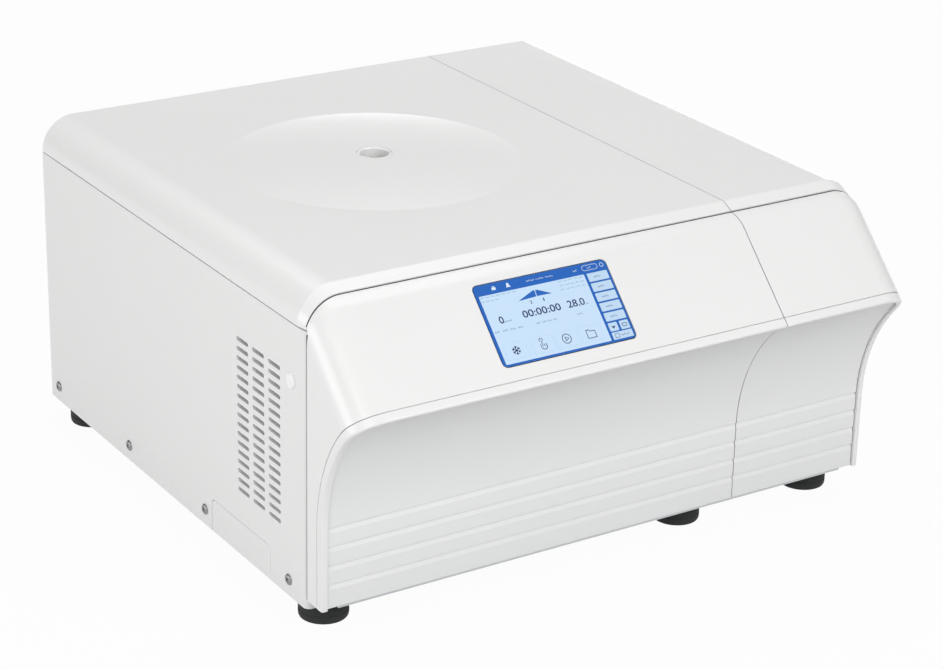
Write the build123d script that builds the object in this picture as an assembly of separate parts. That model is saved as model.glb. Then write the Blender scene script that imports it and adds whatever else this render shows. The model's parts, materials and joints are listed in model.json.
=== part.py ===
from build123d import *
import math
import os

# Refrigerated bench centrifuge. Millimetres, +X right, +Y back, +Z up, front towards -Y.
# The origin lies on the bench, in the middle of the outline seen from above.

# Overall body
body_width = 670.0
panel_depth = 597.5
nose_overhang = 99.6
panel_bottom = 22.4
panel_height = 294.0
edge_radius = 38.3
seam_gap = 1.2
sheet = 1.5
skin = 3.0
touch_gap = 0.3

half_width = body_width / 2
compressor_bay = 170.0
split_x = half_width - compressor_bay
fitting_proud = 2.5
rear_y = (panel_depth + nose_overhang - fitting_proud) / 2
front_y = rear_y - panel_depth
nose_y = front_y - nose_overhang
seam_z = panel_bottom + panel_height
top_z = seam_z + edge_radius
cover_bottom = seam_z + seam_gap / 2
panel_top = seam_z - seam_gap / 2
inner_x = half_width - sheet
panel_bend = 7.0
panel_flange = 14.0

# Front fascia: a 45 degree slope down to the nose, then a hollow cove
nose_z = panel_bottom + 234.5
ledge_drop = 8.0
ledge_z = top_z - ledge_drop
ledge_back_y = front_y + 2.0
fascia_bottom = panel_bottom + 11.3
cove_radius = 170.6
cove_y = front_y - 200.7
cove_z = panel_bottom + 97.2
kick_y = cove_y + cove_radius
lip_depth = 10.0
lip_wall = 6.7
kick_recess = 1.5
kick_wall = 3.5
groove_width = 0.8
groove_depth = 0.8
edge_gap = 0.4
rib_heights = (98.7, 78.5, 58.0, 37.6)
rib_step = 1.9
rib_taper = 5.5

# Display on the slope
screen_left = -165.0
screen_width = 154.6
screen_up = 25.8
screen_height = 86.4
screen_radius = 5.0
screen_glass = 2.5
screen_fit = 0.5

# Base pan and feet
pan_bottom = 31.0
pan_sheet = 2.0
pan_flange = 25.0
foot_radius = 25.6
foot_inset = 32.0
foot_front_y = front_y + 23.0
foot_rear_y = rear_y - 40.0
foot_middle_x = split_x - 35.0
foot_bolt = 4.0

# Deck, chamber and insulation
deck_top = 303.0
deck_sheet = 2.0
chamber_x = (split_x - half_width) / 2 + 2.0
chamber_y = front_y + 303.0
chamber_wall = 50.0
bowl_radius = (split_x + half_width) / 2 - chamber_wall
bowl_sheet = 1.5
bowl_floor = 133.5
bowl_corner = 30.0
bowl_rim = 226.0
bowl_hole = 32.0
gasket_inner = bowl_radius + 4.0
gasket_outer = gasket_inner + 14.0
gasket_height = 4.5
coil_depth = 8.0
coil_turns = 8
coil_low = 150.0
coil_pitch = 17.0
foam_outer = bowl_radius + 33.0
foam_low = 104.0
foam_hole = 76.0
guard_inner = foam_outer + 2.0
guard_wall = 6.0

# Lid
dome_radius = 159.0
dome_height = 8.0
port_radius = 15.75
port_wall = 3.2
lid_front_y = front_y + 4.5
lid_bevel_back = 13.0
lid_bevel_drop = 6.5
liner_z = 320.0
liner_sheet = 1.5
liner_dish_radius = bowl_radius + 22.0
foam_lid_radius = bowl_radius - 7.0

# Hinges
hinge_y = rear_y - 6.0
hinge_z = top_z - 13.0
hinge_radius = 6.0
hinge_pin = 2.5
hinge_fit = 0.05
hinge_width = 20.0
knuckle_width = 10.0
hinge_left_x = -half_width + 47.0
hinge_right_x = split_x - 31.0
arm_thick = 6.0
rail_width = 16.0

# Locks
lock_offset = 147.0
lock_y = -226.0
bolt_size = 10.0
bolt_length = 46.0
bolt_z = 288.0
striker_width = 26.0
striker_thick = 4.0
striker_low = 275.0

# Rotor and buckets
rotor_radius = 118.0
rotor_height = 34.0
pivot_radius = 85.0
pivot_z = 235.0
slot_radius = 44.0
pin_radius = 6.0
bucket_radius = 36.0
bucket_wall = 3.0
bucket_rim = 38.0
bucket_above = 20.0
bucket_below = 85.0
lug_width = 24.0
lug_height = 14.0
lug_gap = 0.6
shaft_radius = 9.0
shoulder_radius = 14.0
hub_bottom = 205.0
nut_radius = 20.0

# Motor
motor_radius = 62.0
motor_flange = 85.0
motor_low = 50.0
motor_top = 125.0
boss_radius = 26.0
damper_radius = 18.0

# Left panel details
vent_length = 24.0
vent_height = 4.4
vent_rows = 17
vent_pitch = 10.25
vent_low = panel_bottom + 74.0
left_vents_y = (128.5, 96.0, 63.5)
right_vents_y = (190.0, 222.5, 255.0, 287.5)
screw_y = (35.5, 214.7, 394.0, 576.7)
screw_z = panel_bottom + 18.0
screw_radius = 2.4
screw_head = 6.0
screw_proud = 2.5
plug_y = front_y + 29.0
plug_z = panel_bottom + 234.0
plug_radius = 8.2
access_front = 73.0
access_back = 200.0
access_height = 37.5
access_gap = 0.6

# Right compartment
partition_x = split_x + 0.6
compressor_x = half_width - 85.0
compressor_y = 212.0
compressor_radius = 66.0
compressor_top = 215.0
fan_y = -10.0
fan_z = 165.0
fan_radius = 92.0
fan_hub = 24.0
fan_blades = 7
condenser_thick = 38.0
condenser_width = 220.0
condenser_height = 230.0
condenser_x = half_width - 48.0

# Rear panel details
inlet_x = -255.0
inlet_z = 85.0
inlet_width = 48.0
inlet_height = 28.0
rocker_x = -185.0
rocker_width = 22.0
rocker_height = 30.0
rocker_wall = 2.0
rocker_pin = 2.0
rocker_pivot_y = rear_y - 7.0
rocker_tilt = 9.0


def slab(x0, x1, y0, y1, z0, z1):
    middle = Pos((x0 + x1) / 2, (y0 + y1) / 2, (z0 + z1) / 2)
    return middle * Box(x1 - x0, y1 - y0, z1 - z0)


def rod(radius, z0, z1, x=0.0, y=0.0):
    return Pos(x, y, (z0 + z1) / 2) * Cylinder(radius, z1 - z0)


def rod_x(radius, x0, x1, y, z):
    return Pos((x0 + x1) / 2, y, z) * Rot(0, 90, 0) * Cylinder(radius, x1 - x0)


def rod_y(radius, y0, y1, x, z):
    return Pos(x, (y0 + y1) / 2, z) * Rot(90, 0, 0) * Cylinder(radius, y1 - y0)


def tube(outer, inner, z0, z1, x=0.0, y=0.0):
    return rod(outer, z0, z1, x, y) - rod(inner, z0 - 1, z1 + 1, x, y)


def turned(points, x, y):
    outline = make_face(Polyline([(r, 0, z) for r, z in points], close=True))
    return Pos(x, y, 0) * revolve(outline, Axis.Z)


def side_extrude(points, x0, x1):
    outline = make_face(Polyline([(x0, y, z) for y, z in points], close=True))
    return extrude(outline, amount=x1 - x0, dir=(1, 0, 0))


# fascia forms


def round_prism(tilt, at_y, at_z, inset):
    """A long bar with two round top edges, its top face through a line, tipped forward."""
    reach = 500.0
    wide = body_width - 2 * inset
    bar = Pos(0, 0, -reach / 2) * Box(wide, 2 * reach, reach)
    edges = bar.edges().filter_by(Axis.Y).group_by(Axis.Z)[-1]
    bar = fillet(edges, edge_radius - inset)
    return Pos(0, at_y, at_z) * Rot(tilt, 0, 0) * Pos(0, 0, -inset) * bar


def hood_block(inset):
    slope_top_y = nose_y + ledge_z - nose_z
    soften = 7.0
    sloped = round_prism(45, nose_y, nose_z, inset)
    level = round_prism(0, slope_top_y, ledge_z, inset)
    between = round_prism(22.5, slope_top_y + soften, ledge_z - 0.4, inset)
    reach_y = nose_y - 5
    box = slab(
        -half_width, half_width, reach_y, ledge_back_y, fascia_bottom, top_z
    )
    return sloped & level & between & box


def cove_tool(depth):
    arc = rod_x(cove_radius + depth, -half_width - 5, half_width + 5, cove_y, cove_z)
    flat = slab(
        -half_width - 5,
        half_width + 5,
        cove_y,
        kick_y + depth,
        0,
        cove_z,
    )
    return arc + flat


def left_of_split(shape):
    keep = slab(-half_width - 5, split_x - seam_gap / 2, nose_y - 10, rear_y, 0, top_z + 20)
    return shape & keep


def right_of_split(shape):
    keep = slab(split_x + seam_gap / 2, half_width + 5, nose_y - 10, rear_y, 0, top_z + 20)
    return shape & keep


slope_plane = Plane(
    origin=(0, nose_y, nose_z),
    x_dir=(1, 0, 0),
    z_dir=(0, -math.sqrt(0.5), math.sqrt(0.5)),
)


def on_slope(width, height, radius, low, high):
    """A rounded block centred on the display, from low to high above the slope face."""
    centre_x = screen_left + screen_width / 2
    centre_up = screen_up + screen_height / 2
    outline = RectangleRounded(width, height, radius)
    block = Pos(centre_x, centre_up, low) * extrude(outline, amount=high - low)
    return slope_plane * block


def make_hood():
    groove = (hood_block(0) - hood_block(groove_depth)) & (
        cove_tool(lip_depth + groove_width / 2) - cove_tool(lip_depth - groove_width / 2)
    )
    shell = hood_block(0) - hood_block(skin) - cove_tool(lip_depth)
    # open behind the side walls, in front of the side panels
    shell -= slab(-half_width - 1, half_width + 1, front_y - edge_gap, rear_y, 0, ledge_z - 9)
    shell -= groove
    # bosses that carry the hood on the bulkhead
    bosses = []
    for x in (-290.0, -190.0, 40.0, 140.0, 190.0, 300.0):
        bosses.append(rod_y(7, front_y - 36, front_y, x, top_z - 50) & hood_block(skin - 0.5))
    shell += bosses
    cut = on_slope(
        screen_width + screen_fit, screen_height + screen_fit, screen_radius, -skin - 2, 2
    )
    return shell - cut


def make_lip():
    ring = (hood_block(0) - hood_block(lip_wall)) & (cove_tool(lip_depth) - cove_tool(0))
    groove = (hood_block(0) - hood_block(groove_depth)) & (
        cove_tool(lip_depth + groove_width / 2) - cove_tool(lip_depth - groove_width / 2)
    )
    return ring - groove


def make_kick():
    inner = hood_block(lip_wall + edge_gap)
    panel = inner & (cove_tool(kick_recess + kick_wall) - cove_tool(kick_recess))
    face_y = kick_y + kick_recess
    for height in rib_heights:
        z = panel_bottom + height
        wedge = side_extrude(
            [(face_y - 1, z), (face_y + rib_step, z), (face_y, z - rib_taper), (face_y - 1, z - rib_taper)],
            -half_width,
            half_width,
        )
        panel -= wedge
    return panel


# covers


def cover_block(inset, x0, x1, left_round, y0, y1):
    block = slab(x0 + inset, x1 - inset, y0, y1, panel_bottom, top_z - inset)
    side = 0 if left_round else -1
    edges = block.edges().filter_by(Axis.Y).group_by(Axis.Z)[-1].sort_by(Axis.X)
    block = fillet([edges[side]], edge_radius - inset)
    return block & slab(x0, x1, y0, y1, cover_bottom, top_z)


def bevel_front(block):
    """The shallow rounded front edge that follows the top and the round corner."""
    front = block.faces().sort_by(Axis.Y)[0]
    edges = [e for e in front.edges() if e.center().Z > seam_z + 2 and e.length > 45]
    return chamfer(edges, lid_bevel_drop, lid_bevel_back, reference=front)


def spherical_cap(base_radius, height, base_z, x, y):
    sphere_radius = (base_radius**2 + height**2) / (2 * height)
    middle_z = base_z + height - sphere_radius
    ball = Pos(x, y, middle_z) * Sphere(sphere_radius)
    keep = rod(base_radius + 5, base_z - 0.5, base_z + height + 1, x, y)
    return ball & keep


def make_lid_shell():
    left = -half_width
    right = split_x - seam_gap / 2
    outer = bevel_front(cover_block(0, left, right, True, lid_front_y, rear_y))
    inner = cover_block(skin, left, right, True, lid_front_y + skin, rear_y + 1)
    inner &= slab(left, right, lid_front_y + skin, rear_y + 1, 0, top_z - skin - 0.01)
    inner -= side_extrude(
        [
            (lid_front_y, top_z),
            (lid_front_y, top_z - lid_bevel_drop - skin),
            (lid_front_y + skin, top_z - lid_bevel_drop - skin),
            (lid_front_y + lid_bevel_back + skin, top_z - skin),
            (lid_front_y + lid_bevel_back + skin, top_z),
        ],
        left,
        right,
    )
    below = slab(
        left + skin, right - skin,
        lid_front_y + skin, rear_y + 1,
        cover_bottom - 1, cover_bottom + 1,
    )
    shell = outer + spherical_cap(dome_radius, dome_height, top_z, chamber_x, chamber_y)
    shell = shell - inner - below
    shell -= spherical_cap(dome_radius, dome_height, top_z - skin, chamber_x, chamber_y)
    return shell - rod(
        port_radius + port_wall + touch_gap, cover_bottom, top_z + 20, chamber_x, chamber_y,
    )


def make_right_cover():
    left = split_x + seam_gap / 2
    right = half_width
    outer = bevel_front(cover_block(0, left, right, False, lid_front_y, rear_y))
    outer += slab(left, left + skin, lid_front_y, rear_y - sheet, deck_top, cover_bottom + 1)
    inner = cover_block(skin, left, right, False, lid_front_y + skin, rear_y - skin)
    inner -= side_extrude(
        [
            (lid_front_y, top_z),
            (lid_front_y, top_z - lid_bevel_drop - skin),
            (lid_front_y + skin, top_z - lid_bevel_drop - skin),
            (lid_front_y + lid_bevel_back + skin, top_z - skin),
            (lid_front_y + lid_bevel_back + skin, top_z),
        ],
        left,
        right,
    )
    below = slab(
        left + skin, right - skin,
        lid_front_y + skin, rear_y - skin,
        cover_bottom - 1, cover_bottom + 1,
    )
    return outer - inner - below


# sheet metal


def slot_cut(x0, x1, y, z):
    """One round-ended vent slot through a side panel, its length along Y."""
    half = (vent_length - vent_height) / 2
    body = slab(x0, x1, y - half, y + half, z - vent_height / 2, z + vent_height / 2)
    return body + rod_x(vent_height / 2, x0, x1, y - half, z) + rod_x(
        vent_height / 2, x0, x1, y + half, z,
    )


def vent_slots(columns, side):
    x0 = side * half_width - 4
    x1 = side * half_width + 4
    return [
        slot_cut(x0, x1, front_y + y, vent_low + row * vent_pitch)
        for y in columns
        for row in range(vent_rows)
    ]


def panel_blank(side):
    """A side panel with its front edge bent inwards, and a flange along the top."""
    bend = panel_bend
    outer = slab(
        -half_width, -half_width + panel_flange + bend,
        front_y, rear_y,
        panel_bottom, panel_top,
    )
    outer = fillet(outer.edges().filter_by(Axis.Z).group_by(Axis.Y)[0].sort_by(Axis.X)[0], bend)
    inner = slab(-inner_x, 0, front_y + sheet, rear_y + 1, panel_bottom - 1, panel_top - sheet)
    inner = fillet(
        inner.edges().filter_by(Axis.Z).group_by(Axis.Y)[0].sort_by(Axis.X)[0],
        bend - sheet,
    )
    blank = outer - inner
    # the top flange is narrow, and stops short of the rear panel
    blank -= slab(
        -inner_x + 11, 0,
        front_y + sheet + 5, rear_y + 1,
        panel_top - sheet - 1, panel_top + 1,
    )
    blank -= slab(-inner_x, 0, rear_y - 17, rear_y + 1, panel_top - sheet - 1, panel_top + 1)
    # the front flange leaves room for the foot below the pan
    blank -= slab(-half_width + bend + 3, 0, front_y - 1, front_y + 20, 0, pan_bottom + 1)
    if side > 0:
        blank = mirror(blank, about=Plane.YZ)
    holes = [
        rod_x(
            screw_radius + 0.1, side * half_width - 4, side * half_width + 4, front_y + y,
            screw_z,
        )
        for y in screw_y
    ]
    return blank - holes


def access_block(gap, thickness):
    """The service cover's outline in the left panel, with two round top corners."""
    block = slab(
        -half_width,
        -half_width + thickness,
        front_y + access_front + gap,
        front_y + access_back - gap,
        panel_bottom,
        panel_bottom + access_height - gap,
    )
    edges = block.edges().filter_by(Axis.X).group_by(Axis.Z)[-1]
    return fillet(edges, 8 - gap)


def make_left_panel():
    panel = panel_blank(-1) - vent_slots(left_vents_y, -1)
    panel -= access_block(0, sheet)
    return panel - rod_x(plug_radius - 1.7, -half_width - 4, -half_width + 4, plug_y, plug_z)


def make_right_panel():
    return panel_blank(1) - vent_slots(right_vents_y, 1)


def make_base_pan():
    front = kick_y + kick_recess + kick_wall
    step_y = front_y + panel_bend
    inner_front = half_width - panel_bend - panel_flange - touch_gap

    def floor_plan(inset, z0, z1):
        main = slab(
            -inner_x + inset, inner_x - inset,
            step_y + inset, rear_y - sheet - inset,
            z0, z1,
        )
        tongue = slab(
            -inner_front + inset, inner_front - inset,
            front + inset, step_y + inset + 1,
            z0, z1,
        )
        return main + tongue

    pan = floor_plan(0, pan_bottom, pan_bottom + pan_flange)
    pan -= floor_plan(pan_sheet, pan_bottom + pan_sheet, pan_bottom + pan_flange + 1)
    for x, y in foot_places():
        pan -= rod(foot_bolt + 0.3, 0, 60, x, y)
    for y in screw_y:
        pan -= rod_x(screw_radius + 0.1, -half_width - 1, half_width + 1, front_y + y, screw_z)
    return pan


def make_rear_panel():
    back = rear_y
    left = -half_width + skin + 6
    right = split_x - seam_gap / 2 - skin - 0.5
    high = hinge_z - hinge_radius - 2
    plate = slab(-inner_x, inner_x, back - sheet, back, panel_bottom, panel_top)
    plate += slab(left, right, back - sheet, back, panel_top - 1, high)
    for x0 in (-inner_x, inner_x - sheet):
        plate += slab(x0, x0 + sheet, back - 13, back, pan_bottom + pan_flange + 1, panel_top - 3)
    for column in range(2):
        for row in range(12):
            x = 220 + column * 62
            z = 75 + row * 15
            plate -= slab(x - 25, x + 25, back - 5, back + 5, z - 3, z + 3)
    plate -= slab(
        inlet_x - inlet_width / 2, inlet_x + inlet_width / 2, back - 5, back + 5,
        inlet_z - inlet_height / 2, inlet_z + inlet_height / 2,
    )
    plate -= slab(
        rocker_x - rocker_width / 2, rocker_x + rocker_width / 2, back - 5, back + 5,
        inlet_z - rocker_height / 2, inlet_z + rocker_height / 2,
    )
    return plate


def make_bulkhead():
    wide = half_width - panel_bend - panel_flange
    low = pan_bottom + pan_flange + 1
    plate = slab(-wide, wide, front_y, front_y + sheet, low, top_z)
    plate += slab(-wide + 3, wide - 3, front_y, front_y + sheet, pan_bottom + pan_sheet, low)
    plate &= round_prism(0, front_y, ledge_z, skin + touch_gap)
    window = slab(-150, -20, front_y - 5, front_y + 5, 215, 250)
    return plate - window


def make_deck():
    low = deck_top - 14
    rim_y = rear_y - 14
    deck = slab(-inner_x, partition_x, front_y + sheet, rim_y, low, deck_top)
    deck -= slab(
        -inner_x + deck_sheet, partition_x - deck_sheet,
        front_y + sheet + deck_sheet, rim_y - deck_sheet,
        low - 1, deck_top - deck_sheet,
    )
    deck += slab(
        -half_width + skin + 3, split_x - 4,
        rim_y - deck_sheet, rim_y,
        deck_top - 2, cover_bottom + 10,
    )
    deck -= rod(bowl_radius + 6, low - 2, deck_top + 1, chamber_x, chamber_y)
    deck -= slab(
        -half_width, -inner_x + panel_bend,
        front_y, front_y + panel_bend,
        low - 1, deck_top + 1,
    )
    for x in lock_places():
        deck -= slab(x - 7, x + 7, lock_y - 17, lock_y + 17, low, deck_top + 1)
    return deck


def make_partition():
    low = pan_bottom + pan_sheet
    back = rear_y - sheet - pan_sheet
    plate = slab(partition_x, partition_x + sheet, front_y + sheet, back, low, deck_top)
    foot = slab(partition_x, partition_x + 14, front_y + sheet + 2, back, low, low + sheet)
    return plate + foot


# fasteners and feet


def foot_places():
    xs = (-half_width + foot_inset, foot_middle_x, half_width - foot_inset)
    return [(x, y) for y in (foot_front_y, foot_rear_y) for x in xs]


def make_foot(x, y):
    bore = foot_bolt + 0.3
    outline = Polyline(
        (bore, 0, 12), (bore + 4.2, 0, 12), (bore + 4.2, 0, 0), (foot_radius - 7, 0, 0)
    )
    heel = ThreePointArc(
        (foot_radius - 7, 0, 0), (foot_radius - 2.05, 0, 2.05), (foot_radius, 0, 7)
    )
    rest = Polyline(
        (foot_radius, 0, 7), (foot_radius - 1.2, 0, pan_bottom), (bore, 0, pan_bottom),
        (bore, 0, 12),
    )
    return Pos(x, y, 0) * revolve(make_face([outline, heel, rest]), Axis.Z)


def make_foot_bolt(x, y):
    head = rod(foot_bolt + 3, 7, 12, x, y)
    shank = rod(foot_bolt, 12, pan_bottom + 12, x, y)
    flats = extrude(RegularPolygon(foot_bolt + 3.4, 6), amount=6)
    return head + shank + Pos(x, y, pan_bottom + pan_sheet) * flats


def make_side_screw(side, y):
    x = side * half_width
    head = rod_x(
        screw_head, min(x, x + side * screw_proud), max(x, x + side * screw_proud), y,
        screw_z,
    )
    rim = head.edges().filter_by(GeomType.CIRCLE)
    rim = rim.sort_by(Axis.X)[0 if side < 0 else -1]
    head = fillet(rim, screw_proud * 0.6)
    inside = x - side * 8
    return head + rod_x(screw_radius, min(x, inside), max(x, inside), y, screw_z)


# lid fittings


def make_liner():
    left = -half_width + skin + 1.2
    right = split_x - seam_gap / 2 - skin
    front = lid_front_y + skin
    back = rear_y - 18
    top = liner_z + liner_sheet
    tray = slab(left, right, front, back, liner_z, liner_z + 5)
    tray -= slab(
        left + liner_sheet, right - liner_sheet,
        front + liner_sheet, back - liner_sheet,
        top, top + 20,
    )
    tray -= rod(liner_dish_radius - liner_sheet, liner_z - 1, top + 1, chamber_x, chamber_y)
    dish_low = deck_top + bowl_sheet + gasket_height + touch_gap
    dish = tube(
        liner_dish_radius, liner_dish_radius - liner_sheet,
        dish_low, top,
        chamber_x, chamber_y,
    )
    floor = rod(liner_dish_radius, dish_low, dish_low + liner_sheet, chamber_x, chamber_y)
    return tray + dish + floor - rod(
        port_radius + port_wall + touch_gap, 290, 340, chamber_x, chamber_y,
    )


def make_lid_foam():
    low = deck_top + bowl_sheet + gasket_height + touch_gap + liner_sheet
    foam = rod(foam_lid_radius, low, top_z - skin - 2, chamber_x, chamber_y)
    return foam - rod(port_radius + port_wall + 2, low - 1, top_z + 10, chamber_x, chamber_y)


def make_rail(x):
    half = rail_width / 2
    low = liner_z + liner_sheet
    high = hinge_z - arm_thick + 0.3
    rail = slab(x - half, x + half, lid_front_y + 8, rear_y - 26, low, high)
    return rail - slab(x - half + 2, x + half - 2, lid_front_y, rear_y, low - 1, high - 2)


def make_hinge_arm(x):
    half = hinge_width / 2
    low = hinge_z - arm_thick + 0.3
    arm = slab(x - half, x + half, rear_y - 100, hinge_y, low, low + arm_thick)
    arm += rod_x(hinge_radius, x - half, x + half, hinge_y, hinge_z)
    return arm - rod_x(hinge_pin + hinge_fit, x - half - 1, x + half + 1, hinge_y, hinge_z)


def make_hinge_bracket(x):
    half = hinge_width / 2 + touch_gap
    outer = half + knuckle_width
    leaf_top = hinge_z - hinge_radius - 1
    bracket = slab(x - outer, x + outer, rear_y - 5, rear_y - sheet, 285, leaf_top)
    for side in (-1, 1):
        x0 = min(x + side * half, x + side * outer)
        x1 = max(x + side * half, x + side * outer)
        bracket += rod_x(hinge_radius, x0, x1, hinge_y, hinge_z)
        bracket += slab(x0, x1, rear_y - 5, rear_y - sheet, leaf_top - 1, hinge_z)
    return bracket - rod_x(hinge_pin + hinge_fit, x - outer - 1, x + outer + 1, hinge_y, hinge_z)


def make_hinge_pin(x):
    outer = hinge_width / 2 + touch_gap + knuckle_width
    pin = rod_x(hinge_pin, x - outer, x + outer, hinge_y, hinge_z)
    return pin + rod_x(hinge_radius - 1.5, x - outer - 2, x - outer, hinge_y, hinge_z)


def lock_places():
    return (chamber_x - lock_offset, chamber_x + lock_offset)


def make_striker(x):
    high = liner_z
    plate = slab(
        x - striker_thick / 2, x + striker_thick / 2,
        lock_y - striker_width / 2, lock_y + striker_width / 2,
        striker_low, high,
    )
    window = bolt_size / 2 + 2
    plate -= slab(x - 9, x + 9, lock_y - window, lock_y + window, bolt_z - window, bolt_z + window)
    return plate + slab(
        x - 13, x + 13,
        lock_y - striker_width / 2, lock_y + striker_width / 2,
        high - 3, high,
    )


def make_lock_housing(x):
    high = deck_top - deck_sheet
    half = bolt_size / 2 + 0.3
    block = slab(x - 14, x + 52, lock_y - 19, lock_y + 19, bolt_z - 22, high)
    block -= slab(x - 4, x + 4, lock_y - 15, lock_y + 15, bolt_z - 16, high + 1)
    return block - slab(x - 20, x + 60, lock_y - half, lock_y + half, bolt_z - half, bolt_z + half)


def make_lock_bolt(x):
    half = bolt_size / 2
    start = x + 5
    return slab(
        start, start + bolt_length,
        lock_y - half, lock_y + half,
        bolt_z - half, bolt_z + half,
    )


def make_lock_motor(x):
    can = rod_x(12, x + 52 + 14, x + 52 + 44, lock_y, bolt_z)
    return can + slab(x + 52, x + 52 + 14, lock_y - 15, lock_y + 15, bolt_z - 15, bolt_z + 13)


def make_port_ring():
    outer = port_radius + port_wall
    low = deck_top + bowl_sheet + gasket_height + touch_gap
    high = top_z + dome_height - 0.4
    return turned(
        [
            (port_radius - 3, low),
            (outer, low),
            (outer, high),
            (port_radius + 1.2, high),
            (port_radius, high - 1.2),
            (port_radius, low + 4),
            (port_radius - 3, low + 4),
        ],
        chamber_x,
        chamber_y,
    )


def make_port_window():
    low = deck_top + bowl_sheet + gasket_height + touch_gap + 4
    return rod(port_radius - 0.05, low, low + 3, chamber_x, chamber_y)


# chamber and drive


def make_bowl():
    inner = bowl_radius
    outer = inner + bowl_sheet
    low = bowl_floor - bowl_sheet
    rim = deck_top + bowl_sheet
    cup = rod(outer, low, rim, chamber_x, chamber_y)
    cup = fillet(cup.edges().group_by(Axis.Z)[0], bowl_corner + bowl_sheet)
    hollow = rod(inner, bowl_floor, rim + 5, chamber_x, chamber_y)
    hollow = fillet(hollow.edges().group_by(Axis.Z)[0], bowl_corner)
    cup += rod(bowl_rim, deck_top, rim, chamber_x, chamber_y)
    return cup - hollow - rod(bowl_hole, low - 1, bowl_floor + 1, chamber_x, chamber_y)


def make_gasket():
    low = deck_top + bowl_sheet
    high = low + gasket_height
    middle = (gasket_inner + gasket_outer) / 2
    return turned(
        [
            (gasket_inner, low),
            (gasket_outer, low),
            (gasket_outer - 1, high - 2),
            (middle + 3, high),
            (middle - 3, high),
            (gasket_inner + 1, high - 2),
        ],
        chamber_x,
        chamber_y,
    )


def make_chamber_foam():
    inner = bowl_radius + bowl_sheet + coil_depth + 2 * touch_gap
    high = deck_top - deck_sheet
    floor_top = bowl_floor - bowl_sheet - touch_gap
    wall = tube(foam_outer, inner, foam_low, high, chamber_x, chamber_y)
    floor = tube(foam_outer, foam_hole, foam_low, floor_top, chamber_x, chamber_y)
    return wall + floor


def make_coil():
    base = bowl_radius + bowl_sheet + touch_gap
    points = [(base, coil_low)]
    for turn in range(coil_turns):
        low = coil_low + turn * coil_pitch
        points += [
            (base + 1, low + 2),
            (base + coil_depth * 0.75, low + 3.5),
            (base + coil_depth, low + 6),
            (base + coil_depth, low + 8),
            (base + coil_depth * 0.75, low + 10.5),
            (base + 1, low + 12),
        ]
    points.append((base, coil_low + coil_turns * coil_pitch - 3))
    return turned(points, chamber_x, chamber_y)


def make_guard():
    low = pan_bottom + pan_sheet
    return tube(
        guard_inner + guard_wall, guard_inner,
        low, deck_top - deck_sheet,
        chamber_x, chamber_y,
    )


def motor_polar(radius, angle):
    turn = math.radians(angle)
    return chamber_x + radius * math.cos(turn), chamber_y + radius * math.sin(turn)


def make_motor():
    flange = rod(motor_flange, motor_low, motor_low + 6, chamber_x, chamber_y)
    can = rod(motor_radius, motor_low + 6, motor_top, chamber_x, chamber_y)
    boss = rod(boss_radius, motor_top, bowl_floor - 1, chamber_x, chamber_y)
    motor = flange + can + boss
    for index in range(12):
        fin = slab(motor_radius - 2, motor_radius + 7, -2, 2, motor_low + 6, motor_top - 6)
        motor += Pos(chamber_x, chamber_y, 0) * Rot(0, 0, index * 30) * fin
    bore = rod(shoulder_radius + touch_gap, motor_top - 22, bowl_floor + 10, chamber_x, chamber_y)
    return motor - bore


def make_dampers():
    parts = []
    for angle in (30, 150, 270):
        x, y = motor_polar(motor_flange - damper_radius + 4, angle)
        parts.append(rod(damper_radius, pan_bottom + pan_sheet, motor_low, x, y))
    return parts


def make_shaft():
    shaft = rod(shoulder_radius, motor_top - 20, hub_bottom, chamber_x, chamber_y)
    return shaft + rod(shaft_radius, hub_bottom, pivot_z + 27, chamber_x, chamber_y)


def make_boot():
    low = motor_top + 1
    return tube(
        bowl_hole - touch_gap, boss_radius + touch_gap,
        low, bowl_floor + 6,
        chamber_x, chamber_y,
    )


def make_yoke():
    low = pivot_z - rotor_height / 2
    high = pivot_z + rotor_height / 2
    yoke = rod(rotor_radius, low, high)
    yoke = chamfer(yoke.edges().filter_by(GeomType.CIRCLE), 3)
    yoke += rod(24, hub_bottom, low)
    for index in range(4):
        slot = rod(slot_radius, low - 5, high + 5, pivot_radius, 0)
        slot += slab(
            pivot_radius - 20, rotor_radius + 20,
            -slot_radius, slot_radius,
            low - 5, high + 5,
        )
        yoke -= Rot(0, 0, index * 90) * slot
    inner = bucket_radius + lug_gap * 2
    for index in range(4):
        for side in (-1, 1):
            y0 = min(side * inner, side * (slot_radius + 6))
            y1 = max(side * inner, side * (slot_radius + 6))
            yoke += Rot(0, 0, index * 90) * rod_y(pin_radius, y0, y1, pivot_radius, pivot_z)
    yoke -= rod(shaft_radius + 0.05, hub_bottom - 1, high + 1)
    return Pos(chamber_x, chamber_y, 0) * yoke


def make_nut():
    low = pivot_z + rotor_height / 2
    nut = rod(nut_radius, low, low + 20)
    nut = chamfer(nut.edges().group_by(Axis.Z)[-1], 3)
    for index in range(10):
        nut -= Rot(0, 0, index * 36) * rod(3, low + 5, low + 25, nut_radius + 1.2, 0)
    nut -= rod(shaft_radius + 0.05, low - 1, pivot_z + 27 + touch_gap)
    return Pos(chamber_x, chamber_y, 0) * nut


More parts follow.
